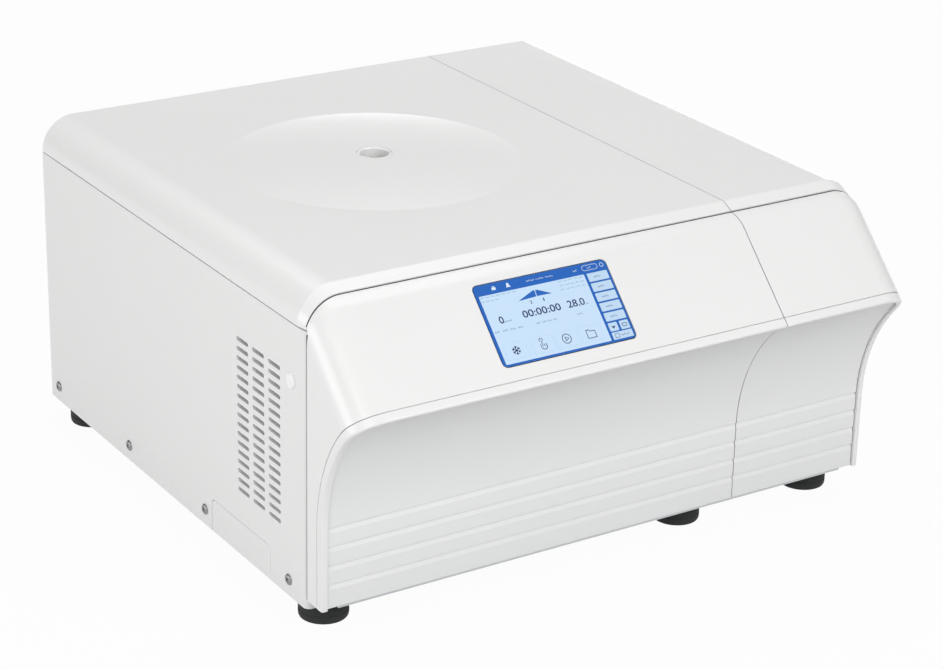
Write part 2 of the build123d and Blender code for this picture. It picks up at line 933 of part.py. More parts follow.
def make_bucket(index):
    low = pivot_z - bucket_below
    high = pivot_z + bucket_above
    cup = rod(bucket_radius, low, high, pivot_radius, 0)
    cup = fillet(cup.edges().group_by(Axis.Z)[0], 14)
    cup += rod(bucket_rim, high - 6, high, pivot_radius, 0)
    hollow = rod(bucket_radius - bucket_wall, low + bucket_wall, high + 1, pivot_radius, 0)
    hollow = fillet(hollow.edges().group_by(Axis.Z)[0], 11)
    groove = pin_radius + touch_gap
    start = bucket_radius + lug_gap
    for side in (-1, 1):
        y0 = min(side * (bucket_radius - 2), side * (slot_radius - lug_gap))
        y1 = max(side * (bucket_radius - 2), side * (slot_radius - lug_gap))
        lug = slab(
            pivot_radius - lug_width / 2, pivot_radius + lug_width / 2,
            y0, y1,
            pivot_z - lug_height, pivot_z + lug_height,
        )
        g0 = min(side * start, side * (slot_radius + 1))
        g1 = max(side * start, side * (slot_radius + 1))
        lug -= rod_y(groove, g0, g1, pivot_radius, pivot_z)
        lug -= slab(
            pivot_radius - groove, pivot_radius + groove,
            g0, g1,
            pivot_z - lug_height - 1, pivot_z,
        )
        cup += lug
    cup -= hollow
    return Pos(chamber_x, chamber_y, 0) * Rot(0, 0, index * 90) * cup


# right compartment


def make_compressor():
    low = pan_bottom + 14
    can = rod(compressor_radius, low + 6, compressor_top, compressor_x, compressor_y)
    can = fillet(can.edges().group_by(Axis.Z)[-1], 34)
    can = fillet(can.edges().group_by(Axis.Z)[0], 18)
    seam = rod(compressor_radius + 3, 118, 122, compressor_x, compressor_y)
    plate = slab(
        compressor_x - 70, compressor_x + 70,
        compressor_y - 85, compressor_y + 85,
        low, low + 4,
    )
    saddle = rod(30, low, low + 20, compressor_x, compressor_y)
    terminals = slab(
        compressor_x - 22, compressor_x + 22,
        compressor_y - compressor_radius - 16, compressor_y - 40,
        95, 150,
    )
    return can + seam + plate + saddle + terminals


def make_compressor_mounts():
    low = pan_bottom + pan_sheet
    high = pan_bottom + 14
    return [
        rod(11, low, high, compressor_x + sx * 55, compressor_y + sy * 72)
        for sx in (-1, 1)
        for sy in (-1, 1)
    ]


def make_condenser():
    x1 = condenser_x + condenser_thick
    y0 = fan_y - condenser_width / 2
    y1 = fan_y + condenser_width / 2
    z0 = pan_bottom + pan_sheet
    z1 = z0 + condenser_height
    block = slab(condenser_x, x1, y0, y1, z0, z1)
    fins = 18
    pitch = (condenser_width - 16) / fins
    for index in range(fins):
        y = y0 + 8 + (index + 0.5) * pitch
        block -= slab(x1 - 4, x1 + 1, y - pitch * 0.3, y + pitch * 0.3, z0 + 8, z1 - 8)
    return block


def make_shroud():
    x1 = condenser_x
    y0 = fan_y - condenser_width / 2
    y1 = fan_y + condenser_width / 2
    z0 = pan_bottom + pan_sheet
    z1 = z0 + condenser_height
    plate = slab(x1 - 2, x1, y0, y1, z0, z1)
    collar = rod_x(fan_radius + 7, x1 - 30, x1 - 2, fan_y, fan_z)
    shroud = plate + collar - rod_x(fan_radius + 5, x1 - 40, x1 + 5, fan_y, fan_z)
    ring = rod_x(30, x1 - 62, x1 - 46, fan_y, fan_z)
    for index in range(3):
        strut = slab(x1 - 48, x1 - 44, -4, 4, 20, fan_radius + 5) + slab(
            x1 - 48, x1 - 28, -4, 4, fan_radius + 1, fan_radius + 7
        )
        ring += Pos(0, fan_y, fan_z) * Rot(90 + index * 120, 0, 0) * strut
    return shroud + ring - rod_x(22.05, x1 - 70, x1 - 40, fan_y, fan_z)


def make_fan_motor():
    x1 = condenser_x
    can = rod_x(22, x1 - 78, x1 - 36, fan_y, fan_z)
    return can + rod_x(27, x1 - 82, x1 - 64, fan_y, fan_z) - rod_x(
        4.3, x1 - 50, x1 - 35, fan_y, fan_z,
    )


def make_fan():
    x1 = condenser_x
    hub = rod_x(fan_hub, x1 - 34, x1 - 10, fan_y, fan_z) + rod_x(4, x1 - 48, x1 - 34, fan_y, fan_z)
    for index in range(fan_blades):
        blade = Pos(x1 - 20, 0, (fan_hub + fan_radius) / 2) * Rot(0, 0, 32) * Box(
            2.4, 30, fan_radius - fan_hub + 2,
        )
        hub += Pos(0, fan_y, fan_z) * Rot(index * 360 / fan_blades, 0, 0) * blade
    keep = rod_x(fan_radius, x1 - 60, x1, fan_y, fan_z)
    return hub & keep


def make_power_supply():
    z0 = pan_bottom + pan_sheet
    x0 = partition_x + 14.4
    x1 = half_width - 45
    box = slab(x0, x1, front_y + 6, front_y + 96, z0, z0 + 165)
    box = chamfer(box.edges().group_by(Axis.Z)[-1], 2)
    for index in range(9):
        y = front_y + 14 + index * 9
        box -= slab(x0 - 4, x1 + 34, y, y + 3, z0 + 150, z0 + 170)
    return box


def make_control_board():
    y = front_y + sheet
    board = slab(-125, 35, y + 8, y + 9.6, 172, 280)
    for x in (-117, 27):
        for z in (180, 272):
            board += rod_y(3, y, y + 8, x, z)
    board += slab(-105, -55, y + 9.6, y + 30, 184, 222)
    board += slab(-35, 5, y + 9.6, y + 20, 188, 214)
    board += slab(-105, 15, y + 9.6, y + 24, 250, 262)
    return board


# rear fittings and plugs


def make_inlet():
    y = rear_y
    w = inlet_width / 2
    h = inlet_height / 2
    body = slab(inlet_x - w, inlet_x + w, y - 28, y + fitting_proud, inlet_z - h, inlet_z + h)
    body += slab(
        inlet_x - w - 11, inlet_x + w + 11,
        y, y + fitting_proud,
        inlet_z - h - 4, inlet_z + h + 4,
    )
    body -= slab(inlet_x - w + 4, inlet_x + w - 4, y - 20, y + 5, inlet_z - h + 3, inlet_z + h - 3)
    for x in (-13.0, 0.0, 13.0):
        body += slab(inlet_x + x - 1, inlet_x + x + 1, y - 21, y - 3, inlet_z - 4, inlet_z + 4)
    return body


def make_rocker_frame():
    y = rear_y
    w = rocker_width / 2
    h = rocker_height / 2
    frame = slab(rocker_x - w, rocker_x + w, y - 22, y + fitting_proud, inlet_z - h, inlet_z + h)
    frame += slab(
        rocker_x - w - 3, rocker_x + w + 3,
        y, y + fitting_proud,
        inlet_z - h - 3, inlet_z + h + 3,
    )
    frame -= slab(
        rocker_x - w + rocker_wall, rocker_x + w - rocker_wall, y - 16, y + 5,
        inlet_z - h + rocker_wall, inlet_z + h - rocker_wall,
    )
    reach = w - rocker_wall / 4
    return frame - rod_x(
        rocker_pin + hinge_fit, rocker_x - reach, rocker_x + reach, rocker_pivot_y, inlet_z,
    )


def make_rocker():
    """The switch lever at rest with its lower end in, seen from behind."""
    half = rocker_width / 2 - 2.4
    top = rocker_height / 2 - 3.4
    lever = side_extrude(
        [(-2, -5), (-2, 5), (5, top), (7.5, top), (5.5, 0), (7.5, -top), (5, -top)],
        -half,
        half,
    )
    reach = rocker_width / 2 - rocker_wall / 2
    lever += rod_x(rocker_pin, -reach, reach, 0, 0)
    return Pos(rocker_x, rocker_pivot_y, inlet_z) * Rot(rocker_tilt, 0, 0) * lever


def make_release_plug():
    x = -half_width
    cap = rod_x(plug_radius, x - screw_proud, x, plug_y, plug_z)
    cap = fillet(cap.edges().filter_by(GeomType.CIRCLE).sort_by(Axis.X)[0], screw_proud * 0.9)
    return cap + rod_x(plug_radius - 2, x, x + 14, plug_y, plug_z)


def make_screen(kind):
    if kind == "glass":
        return on_slope(screen_width, screen_height, screen_radius, -screen_glass, 0)
    module = on_slope(screen_width - 4, screen_height - 4, 2, -screen_glass - 13, -screen_glass)
    return module + on_slope(screen_width + 22, screen_height + 8, 3, -skin - 2, -skin)


def save(name, shape):
    if isinstance(shape, (list, tuple, ShapeList)):
        solids = [s for item in shape for s in item.solids()]
    else:
        solids = shape.solids()
    keep = solids[0] if len(solids) == 1 else Compound(children=[Solid(s.wrapped) for s in solids])
    export_step(keep, f"parts/{name}.step")


os.makedirs("parts", exist_ok=True)

hood = make_hood()
lip = make_lip()
kick = make_kick()
save("fascia_left", left_of_split(hood))
save("fascia_right", right_of_split(hood))
save("lip_trim_left", left_of_split(lip))
save("lip_trim_right", right_of_split(lip))
save("kick_panel_left", left_of_split(kick))
save("kick_panel_right", right_of_split(kick))
save("display_glass", make_screen("glass"))
save("display_module", make_screen("module"))

save("lid_shell", make_lid_shell())
save("lid_liner", make_liner())
save("lid_insulation", make_lid_foam())
save("lid_rails", [make_rail(x) for x in (hinge_left_x, hinge_right_x)])
save("port_ring", make_port_ring())
save("port_window", make_port_window())
save("lid_hinge_arms", [make_hinge_arm(x) for x in (hinge_left_x, hinge_right_x)])
save("lock_strikers", [make_striker(x) for x in lock_places()])

save("hinge_brackets", [make_hinge_bracket(x) for x in (hinge_left_x, hinge_right_x)])
save("hinge_pins", [make_hinge_pin(x) for x in (hinge_left_x, hinge_right_x)])
save("lock_housings", [make_lock_housing(x) for x in lock_places()])
save("lock_motors", [make_lock_motor(x) for x in lock_places()])
save("lock_bolt_left", make_lock_bolt(lock_places()[0]))
save("lock_bolt_right", make_lock_bolt(lock_places()[1]))

save("right_top_cover", make_right_cover())
save("left_side_panel", make_left_panel())
save("right_side_panel", make_right_panel())
save("access_cover", access_block(access_gap, sheet))
save("rear_panel", make_rear_panel())
save("front_bulkhead", make_bulkhead())
save("base_pan", make_base_pan())
save("partition_plate", make_partition())
save("deck_plate", make_deck())
save("feet", [make_foot(x, y) for x, y in foot_places()])
save("foot_bolts", [make_foot_bolt(x, y) for x, y in foot_places()])
save("side_screws", [make_side_screw(side, front_y + y) for side in (-1, 1) for y in screw_y])
save("release_plug", make_release_plug())

save("chamber_bowl", make_bowl())
save("chamber_gasket", make_gasket())
save("chamber_insulation", make_chamber_foam())
save("evaporator_coil", make_coil())
save("guard_ring", make_guard())
save("drive_motor", make_motor())
save("rubber_mounts", make_dampers() + make_compressor_mounts())
save("drive_shaft", make_shaft())
save("shaft_boot", make_boot())
save("rotor_yoke", make_yoke())
save("rotor_nut", make_nut())
for number in range(4):
    save(f"bucket_{number + 1}", make_bucket(number))

save("compressor", make_compressor())
save("condenser", make_condenser())
save("fan_shroud", make_shroud())
save("fan_motor", make_fan_motor())
save("condenser_fan", make_fan())
save("power_supply", make_power_supply())
save("control_board", make_control_board())
save("power_inlet", make_inlet())
save("rocker_frame", make_rocker_frame())
save("rocker_switch", make_rocker())
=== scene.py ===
import json
from math import asin, atan2, cos, pi, radians, sin, sqrt, tan

import bmesh
import bpy
from mathutils import Matrix, Vector


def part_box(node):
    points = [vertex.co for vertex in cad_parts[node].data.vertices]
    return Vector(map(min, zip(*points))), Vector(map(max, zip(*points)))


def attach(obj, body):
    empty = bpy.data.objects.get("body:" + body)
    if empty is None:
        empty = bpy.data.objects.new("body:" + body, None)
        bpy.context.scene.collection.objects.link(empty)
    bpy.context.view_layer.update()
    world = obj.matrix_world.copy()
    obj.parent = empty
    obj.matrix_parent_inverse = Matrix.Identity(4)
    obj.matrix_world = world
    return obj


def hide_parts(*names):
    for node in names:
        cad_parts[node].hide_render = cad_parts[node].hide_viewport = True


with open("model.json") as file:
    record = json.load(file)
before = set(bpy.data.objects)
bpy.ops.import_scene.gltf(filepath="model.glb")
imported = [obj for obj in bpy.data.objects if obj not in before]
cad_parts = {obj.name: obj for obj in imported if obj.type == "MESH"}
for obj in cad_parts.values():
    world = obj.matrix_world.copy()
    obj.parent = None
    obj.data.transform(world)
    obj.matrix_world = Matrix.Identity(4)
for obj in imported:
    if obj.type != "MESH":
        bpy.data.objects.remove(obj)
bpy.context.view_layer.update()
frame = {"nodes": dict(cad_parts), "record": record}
print("frame loaded,", len(frame["nodes"]), "nodes")


def addObject(name, data):
    thing = bpy.data.objects.new(name, data)
    bpy.context.scene.collection.objects.link(thing)
    return thing


def fill(tree, node, inputs):
    # each input takes a constant or another node's output
    for socket, value in inputs.items():
        if isinstance(value, bpy.types.NodeSocket):
            tree.links.new(value, node.inputs[socket])
        else:
            node.inputs[socket].default_value = value


def addNode(tree, kind, inputs=None, **settings):
    node = tree.nodes.new(kind)
    for name, value in settings.items():
        setattr(node, name, value)
    fill(tree, node, inputs or {})
    return node


def compute(tree, operation, *values, kind="ShaderNodeMath"):
    return addNode(tree, kind, dict(enumerate(values)), operation=operation).outputs[0]


def freshTree(owner):
    owner.use_nodes = True
    owner.node_tree.nodes.clear()
    return owner.node_tree


cameraSet = {
    "azimuth": -32.95, "elevation": 22.68, "roll": 1.37, "lens": 102.76,
    "target": (0.0094, -0.0032, 0.1539), "distance": 2.944,
}


def makeCamera(s):
    az, el, roll = (radians(s[k]) for k in ("azimuth", "elevation", "roll"))
    back = Vector((sin(az) * cos(el), -cos(az) * cos(el), sin(el)))
    right = Vector((0, 0, 1)).cross(back).normalized()
    up = back.cross(right)
    rolledRight = right * cos(roll) + up * sin(roll)
    rolledUp = up * cos(roll) - right * sin(roll)
    data = bpy.data.cameras.new("photoCamera")
    data.lens = s["lens"]
    data.sensor_width = 36.0
    data.sensor_fit = "HORIZONTAL"
    data.clip_start = 0.05
    camera = addObject("photoCamera", data)
    turn = Matrix((rolledRight, rolledUp, back)).transposed().to_4x4()
    camera.matrix_world = Matrix.Translation(Vector(s["target"]) + back * s["distance"]) @ turn
    bpy.context.scene.camera = camera


lightSet = {
    "world": 0.345,
    "lamps": (
        # name, place, aimed at, width, height, power
        ("topSoftbox", (0.2, 0.9, 2.3), (0.0, 0.0, 0.3), 2.4, 2.0, 25.0),
        ("horizonSoftbox", (1.5, 2.5, 0.45), (-0.08, 0.05, 0.33), 3.0, 0.6, 13.0),
        ("leftSoftbox", (-2.6, 0.7, 0.45), (-0.3, 0.1, 0.13), 1.8, 0.8, 18.0),
        ("cornerSoftbox", (-1.5, -1.35, 1.1), (-0.25, -0.25, 0.24), 1.3, 0.9, 13.0),
        ("frontSoftbox", (0.8, -2.5, 1.8), (0.1, -0.25, 0.10), 1.8, 1.0, 38.0),
    ),
}


def makeLamp(name, place, aim, width, height, power):
    data = bpy.data.lights.new(name, "AREA")
    data.shape = "RECTANGLE"
    data.size = width
    data.size_y = height
    data.energy = power
    lamp = addObject(name, data)
    lamp.location = place
    lamp.rotation_euler = (Vector(aim) - Vector(place)).to_track_quat("-Z", "Y").to_euler()


def makeWorld(strength):
    world = bpy.data.worlds.new("studio")
    bpy.context.scene.world = world
    tree = freshTree(world)
    seen = addNode(tree, "ShaderNodeLightPath").outputs["Is Camera Ray"]
    room, backdrop = (
        addNode(tree, "ShaderNodeBackground", {"Color": (1, 1, 1, 1), "Strength": value}).outputs[0]
        for value in (strength, 1.0))
    mix = addNode(tree, "ShaderNodeMixShader", {0: seen, 1: room, 2: backdrop})
    addNode(tree, "ShaderNodeOutputWorld", {"Surface": mix.outputs[0]})


floorSet = {"size": 12.0, "colour": (0.62, 0.62, 0.62, 1), "white": 0.96}


def makeFloor(s):
    # paper that is white where the camera sees it, or sees it in metal or glass
    reach = s["size"] / 2
    mesh = bpy.data.meshes.new("floor")
    corners = [(-reach, -reach, 0), (reach, -reach, 0), (reach, reach, 0), (-reach, reach, 0)]
    mesh.from_pydata(corners, [], [(0, 1, 2, 3)])
    floor = addObject("floor", mesh)
    mat = bpy.data.materials.new("palePaperFloor")
    tree = freshTree(mat)
    path = addNode(tree, "ShaderNodeLightPath").outputs
    seen = compute(tree, "MAXIMUM", path["Is Camera Ray"], path["Is Glossy Ray"])
    seen = compute(tree, "MAXIMUM", seen, path["Is Transmission Ray"])
    paper = addNode(tree, "ShaderNodeBsdfDiffuse", {"Color": s["colour"]}).outputs[0]
    plain = addNode(tree, "ShaderNodeEmission", {"Strength": 1.0}).outputs[0]
    share = compute(tree, "MULTIPLY", seen, s["white"])
    mix = addNode(tree, "ShaderNodeMixShader", {0: share, 1: paper, 2: plain})
    addNode(tree, "ShaderNodeOutputMaterial", {"Surface": mix.outputs[0]})
    mesh.materials.append(mat)


makeCamera(cameraSet)
makeWorld(lightSet["world"])
for lamp in lightSet["lamps"]:
    makeLamp(*lamp)
makeFloor(floorSet)
bpy.context.scene.view_settings.view_transform = "Standard"
print("camera and lights are set")


def newGroup(name, inputs):
    # every finish group gives a colour, a roughness and a height
    tree = bpy.data.node_groups.new(name, "ShaderNodeTree")
    for label, kind, value in inputs:
        socket = tree.interface.new_socket(name=label, in_out="INPUT", socket_type="NodeSocket" + kind)
        socket.default_value = value
    for label, kind in (("Colour", "Color"), ("Roughness", "Float"), ("Height", "Float")):
        tree.interface.new_socket(name=label, in_out="OUTPUT", socket_type="NodeSocket" + kind)
    where = addNode(tree, "ShaderNodeTexCoord").outputs["Object"]
    return tree, addNode(tree, "NodeGroupInput").outputs, where


def noise(tree, vector, scale, detail):
    inputs = {"Vector": vector, "Scale": scale, "Detail": detail}
    return addNode(tree, "ShaderNodeTexNoise", inputs).outputs["Fac"]


def scaledColour(tree, colour, factor):
    return addNode(tree, "ShaderNodeVectorMath", {0: colour, "Scale": factor}, operation="SCALE").outputs[0]


def makeFinishGroup():
    # an even coat: slow shade changes in the colour, a fine skin in the height
    tree, given, where = newGroup("coatedFinish", (
        ("Colour", "Color", (0.8, 0.8, 0.8, 1)), ("Shade", "Float", 0.02), ("Grain Scale", "Float", 900.0),
        ("Roughness", "Float", 0.4), ("Roughness Spread", "Float", 0.06)))
    centred = compute(tree, "SUBTRACT", noise(tree, where, 7.0, 4.0), 0.5)
    bright = compute(tree, "MULTIPLY_ADD", centred, given["Shade"], 1.0)
    addNode(tree, "NodeGroupOutput", {
        "Colour": scaledColour(tree, given["Colour"], bright),
        "Roughness": compute(tree, "MULTIPLY_ADD", centred, given["Roughness Spread"], given["Roughness"]),
        "Height": noise(tree, where, given["Grain Scale"], 2.0)})
    return tree


def makeBrushedGroup():
    # drawn metal: long fine lines along one direction
    tree, given, where = newGroup("brushedMetal", (
        ("Colour", "Color", (0.6, 0.6, 0.6, 1)), ("Stretch", "Vector", (40.0, 900.0, 900.0)),
        ("Roughness", "Float", 0.3), ("Contrast", "Float", 0.12)))
    drawn = compute(tree, "MULTIPLY", where, given["Stretch"], kind="ShaderNodeVectorMath")
    lines = noise(tree, drawn, 1.0, 3.0)
    centred = compute(tree, "SUBTRACT", lines, 0.5)
    bright = compute(tree, "MULTIPLY_ADD", centred, given["Contrast"], 1.0)
    addNode(tree, "NodeGroupOutput", {
        "Colour": scaledColour(tree, given["Colour"], bright),
        "Roughness": compute(tree, "MULTIPLY_ADD", centred, given["Contrast"], given["Roughness"]),
        "Height": lines})
    return tree


coatedFinish = makeFinishGroup()
brushedMetal = makeBrushedGroup()


def fromScreen(r, g, b):
    # a colour read as 0 to 255, made linear
    shares = (c / 255 for c in (r, g, b))
    return tuple(c / 12.92 if c <= 0.04045 else ((c + 0.055) / 1.055) ** 2.4 for c in shares)


def makeSurface(name, group, values, constants, bump=None, distance=0.0004):
    # values go to the finish group, constants straight to the surface
    mat = bpy.data.materials.new(name)
    mat.use_nodes = True
    tree = mat.node_tree
    surface = tree.nodes["Principled BSDF"]
    finish = addNode(tree, "ShaderNodeGroup", values, node_tree=group).outputs
    fill(tree, surface, {"Base Color": finish["Colour"], "Roughness": finish["Roughness"], **constants})
    if bump is not None:
        inputs = {"Strength": bump, "Distance": distance, "Height": finish["Height"]}
        fill(tree, surface, {"Normal": addNode(tree, "ShaderNodeBump", inputs).outputs["Normal"]})
    return mat


def coated(name, colour, rough, shade=0.02, grain=900.0, bump=0.05, metallic=0.0, coat=0.0, specular=0.5):
    return makeSurface(
        name, coatedFinish,
        {"Colour": (*colour, 1), "Shade": shade, "Grain Scale": grain, "Roughness": rough},
        {"Metallic": metallic, "Coat Weight": coat, "Coat Roughness": 0.12, "Specular IOR Level": specular},
        bump)


def brushed(name, colour, rough, stretch=(40.0, 900.0, 900.0), contrast=0.12, bump=0.06):
    return makeSurface(
        name, brushedMetal,
        {"Colour": (*colour, 1), "Stretch": stretch, "Roughness": rough, "Contrast": contrast},
        {"Metallic": 1.0}, bump, 0.0003)


def clearGlass(name, tint, rough):
    return makeSurface(
        name, coatedFinish,
        {"Colour": (*tint, 1), "Shade": 0.02, "Roughness": rough, "Roughness Spread": 0.02},
        {"Transmission Weight": 0.85, "IOR": 1.49})


finishes = {
    "painted_steel": coated("powderCoatedSteel", (0.79, 0.79, 0.785), 0.42, grain=1400.0, bump=0.16),
    "cover_plastic": coated("mouldedCover", (0.80, 0.80, 0.795), 0.33, grain=2200.0, bump=0.05, coat=0.2),
    "cove_plastic": coated("coveMoulding", (0.78, 0.785, 0.785), 0.42, grain=2000.0, bump=0.08),
    "display_glass": coated("screenGlass", fromScreen(24, 96, 184), 0.12, grain=300.0, bump=0.0, coat=0.6),
    "port_glass": clearGlass("portGlass", (0.72, 0.74, 0.74), 0.06),
    "stainless": brushed("drawnStainless", (0.66, 0.67, 0.67), 0.26),
    "zinc_steel": brushed("zincedSheet", (0.56, 0.58, 0.60), 0.38, (120.0, 500.0, 300.0), 0.2),
    "cast_frame": coated("castFrame", (0.10, 0.105, 0.11), 0.55, grain=1200.0, bump=0.3),
    "anodised": coated("anodisedAlloy", (0.30, 0.31, 0.33), 0.34, grain=1800.0, bump=0.1, metallic=0.85),
    "foot_rubber": coated("footRubber", fromScreen(44, 46, 45), 0.72, shade=0.2, bump=0.25, specular=0.3),
    "foam": coated("blackFoam", (0.035, 0.036, 0.038), 0.92, shade=0.3, grain=1500.0, bump=0.7, specular=0.1),
    "copper": brushed("drawnCopper", (0.72, 0.36, 0.22), 0.3),
    "black_plastic": coated("blackMoulding", (0.022, 0.023, 0.025), 0.42, shade=0.1, grain=1600.0, bump=0.15),
    "white_plastic": coated("whiteMoulding", (0.80, 0.80, 0.79), 0.34, grain=1800.0, bump=0.05),
    "screw_steel": brushed("screwSteel", (0.30, 0.30, 0.30), 0.36, (700.0, 700.0, 700.0), 0.15),
    "board": coated("boardGreen", (0.02, 0.12, 0.05), 0.35, shade=0.2, grain=500.0, bump=0.1, coat=0.3),
}
plugFinish = coated("plugCap", fromScreen(240, 241, 241), 0.3, grain=1500.0, bump=0.05, coat=0.2)
print("materials made:", len(finishes) + 1)

slotOf = {part["node"]: part["material_slot"] for part in frame["record"]["subparts"]}
bodies = frame["record"]["behaviour"]["bodies"]
bodyOf = {member: body for body, members in bodies.items() for member in members}


def addPiece(name, verts, faces, mat):
    mesh = bpy.data.meshes.new(name)
    mesh.from_pydata([tuple(v) for v in verts], [], faces)
    mesh.materials.append(mat)
    mesh.update()
    return addObject(name, mesh)


def addSolid(name, verts, faces, mat, merge=0.00001):
    piece = addPiece(name, verts, faces, mat)
    tidyMesh(piece, merge, turnOut=True)
    return piece


def tidyMesh(piece, merge=0.00001, turnOut=False):
    work = bmesh.new()
    work.from_mesh(piece.data)
    bmesh.ops.remove_doubles(work, verts=work.verts, dist=merge)
    bmesh.ops.dissolve_degenerate(work, edges=work.edges, dist=merge / 10)
    if turnOut:
        bmesh.ops.recalc_face_normals(work, faces=work.faces)
    work.to_mesh(piece.data)
    work.free()
    piece.data.update()


def bake(piece):
    # the modifiers become the mesh
    bpy.context.view_layer.update()
    done = bpy.data.meshes.new_from_object(piece.evaluated_get(bpy.context.evaluated_depsgraph_get()))
    done.name = piece.name
    piece.modifiers.clear()
    piece.data = done


def smoothByAngle(mesh, degrees):
    mesh.shade_smooth()
    mesh.set_sharp_from_angle(angle=radians(degrees))


def finishEdges(piece, width, segments=2, angle=35.0, limit=30.0):
    if width > 0:
        bevel = piece.modifiers.new("softEdge", "BEVEL")
        bevel.width = width
        bevel.segments = segments
        bevel.limit_method = "ANGLE"
        bevel.angle_limit = radians(angle)
        bake(piece)
    smoothByAngle(piece.data, limit)
    weigh = piece.modifiers.new("evenShade", "WEIGHTED_NORMAL")
    weigh.keep_sharp = True
    weigh.weight = 80
    bake(piece)


def thicken(piece, depth):
    wall = piece.modifiers.new("wall", "SOLIDIFY")
    wall.thickness = depth
    wall.offset = -1.0
    wall.use_even_offset = True
    wall.use_quality_normals = True
    bake(piece)


def settle(piece, node):
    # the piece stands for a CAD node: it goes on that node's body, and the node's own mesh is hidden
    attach(piece, bodyOf[node])
    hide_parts(node)


def cutWith(piece, tool):
    cut = piece.modifiers.new("cut", "BOOLEAN")
    cut.operation = "DIFFERENCE"
    cut.solver = "EXACT"
    cut.object = tool
    bake(piece)
    bpy.data.objects.remove(tool)


def joinAs(name, piece, others):
    # the others go into the piece's mesh, under one name
    work = bmesh.new()
    for part in [piece, *others]:
        work.from_mesh(part.data)
    work.to_mesh(piece.data)
    work.free()
    for part in others:
        bpy.data.objects.remove(part)
    piece.name = name


def quads(rows, columns):
    faces = []
    for r in range(rows - 1):
        for c in range(columns - 1):
            a, b = r * columns + c, r * columns + c + 1
            faces.append((a, b, b + columns, a + columns))
    return faces


def ringFaces(rings, n, start=0, loop=False):
    # quads between rings of n corners; a loop also joins the last ring to the first
    faces = []
    for r in range(rings if loop else rings - 1):
        a, b = start + r * n, start + (r + 1) % rings * n
        faces += [(a + k, a + (k + 1) % n, b + (k + 1) % n, b + k) for k in range(n)]
    return faces


def tubeFaces(rings, n, start=0):
    # closed at both ends
    last = start + (rings - 1) * n
    return [tuple(range(start, start + n))[::-1], tuple(range(last, last + n))] + ringFaces(rings, n, start)


def boxPiece(name, low, high, mat):
    xs, ys, zs = zip(low, high)
    corners = [(x, y, z) for z in zs for y in ys for x in xs]
    faces = [(0, 2, 3, 1), (4, 5, 7, 6), (0, 1, 5, 4), (2, 6, 7, 3), (0, 4, 6, 2), (1, 3, 7, 5)]
    return addPiece(name, corners, faces, mat)


# the hood's forms are three planes with round side edges, and the cove

hull = {
    "halfWidth": 0.335, "edge": 0.0383, "bottom": 0.0337,
    "ledgeZ": 0.3467, "slopeTopY": -0.2600, "soften": 0.007,
    "coveY": -0.4509, "coveZ": 0.1196, "coveRadius": 0.1706, "topZ": 0.3547, "coverBottom": 0.3170,
    "rearY": 0.3473, "frontY": -0.2502, "splitX": 0.165, "gap": 0.0012, "blend": 0.0022,
    # share of a side line that turns with the cove, steps of a turn, and longest step along the top
    "roundShare": 0.75, "turnSteps": 14, "stride": 0.03,
    # the narrow chamfer between the slope and the ledge
    "chamfer": 22.5, "chamferDrop": 0.0004,
}
leftSpan = (-hull["halfWidth"], hull["splitX"] - hull["gap"] / 2)
rightSpan = (hull["splitX"] + hull["gap"] / 2, hull["halfWidth"])


def planeHeights(y):
    # the slope, the chamfer and the ledge: height at y, and how much a shift along the normal lowers it
    ledge, top, tilt = hull["ledgeZ"], hull["slopeTopY"], radians(hull["chamfer"])
    chamfer = ledge - hull["chamferDrop"] + tan(tilt) * (y - top - hull["soften"])
    return (ledge + (y - top), sqrt(2.0)), (chamfer, 1 / cos(tilt)), (ledge, 1.0)


def softLeast(a, b, k):
    h = max(0.0, min(1.0, 0.5 + 0.5 * (b - a) / k))
    return b * (1 - h) + a * h - k * h * (1 - h)


def hoodHeight(y, sinT, inset):
    rounding = hull["edge"] - (hull["edge"] - inset) * sinT
    heights = [z - rounding * stretch for z, stretch in planeHeights(y)]
    return softLeast(softLeast(heights[0], heights[1], hull["blend"]), heights[2], hull["blend"])


def acrossAt(side, t, inset):
    return side * (hull["halfWidth"] - hull["edge"] + (hull["edge"] - inset) * cos(t))


def stationX(station, inset):
    kind, side, value = station
    return value if kind == "top" else acrossAt(side, value if kind == "corner" else 0.0, inset)


def stationSine(station):
    # 1 on the top, 0 on the side wall
    kind, _, value = station
    return 1.0 if kind == "top" else sin(value) if kind == "corner" else 0.0


def covePoint(r, turn):
    return hull["coveY"] + r * cos(turn), hull["coveZ"] + r * sin(turn)


def coveMeetsSlope(sinT, depth, inset):
    # where the cove, grown by depth, cuts the slope's surface lowered by inset
    r = hull["coveRadius"] + depth
    drop = (hull["edge"] - (hull["edge"] - inset) * sinT) * sqrt(2.0)
    q = hull["ledgeZ"] - hull["slopeTopY"] + hull["coveY"] - hull["coveZ"] - drop
    y = (-q + sqrt(2 * r * r - q * q)) / 2
    return hull["coveY"] + y, hull["coveZ"] + y + q


def coveWall(w, depth, inset):
    # down the side wall: round the cove for most of the way, then straight
    r, most = hull["coveRadius"] + depth, hull["roundShare"]
    y0, z0 = coveMeetsSlope(0.0, depth, inset)
    start = atan2(z0 - hull["coveZ"], y0 - hull["coveY"])
    if w < most:
        return covePoint(r, start * (1 - w / most))
    down = (w - most) / (1 - most)
    return hull["coveY"] + r, hull["coveZ"] + (hull["bottom"] - hull["coveZ"]) * down


def ringPoint(station, depth, inset):
    if station[0] == "wall":
        return (stationX(station, inset), *coveWall(station[2], depth, inset))
    return (stationX(station, inset), *coveMeetsSlope(stationSine(station), depth, inset))


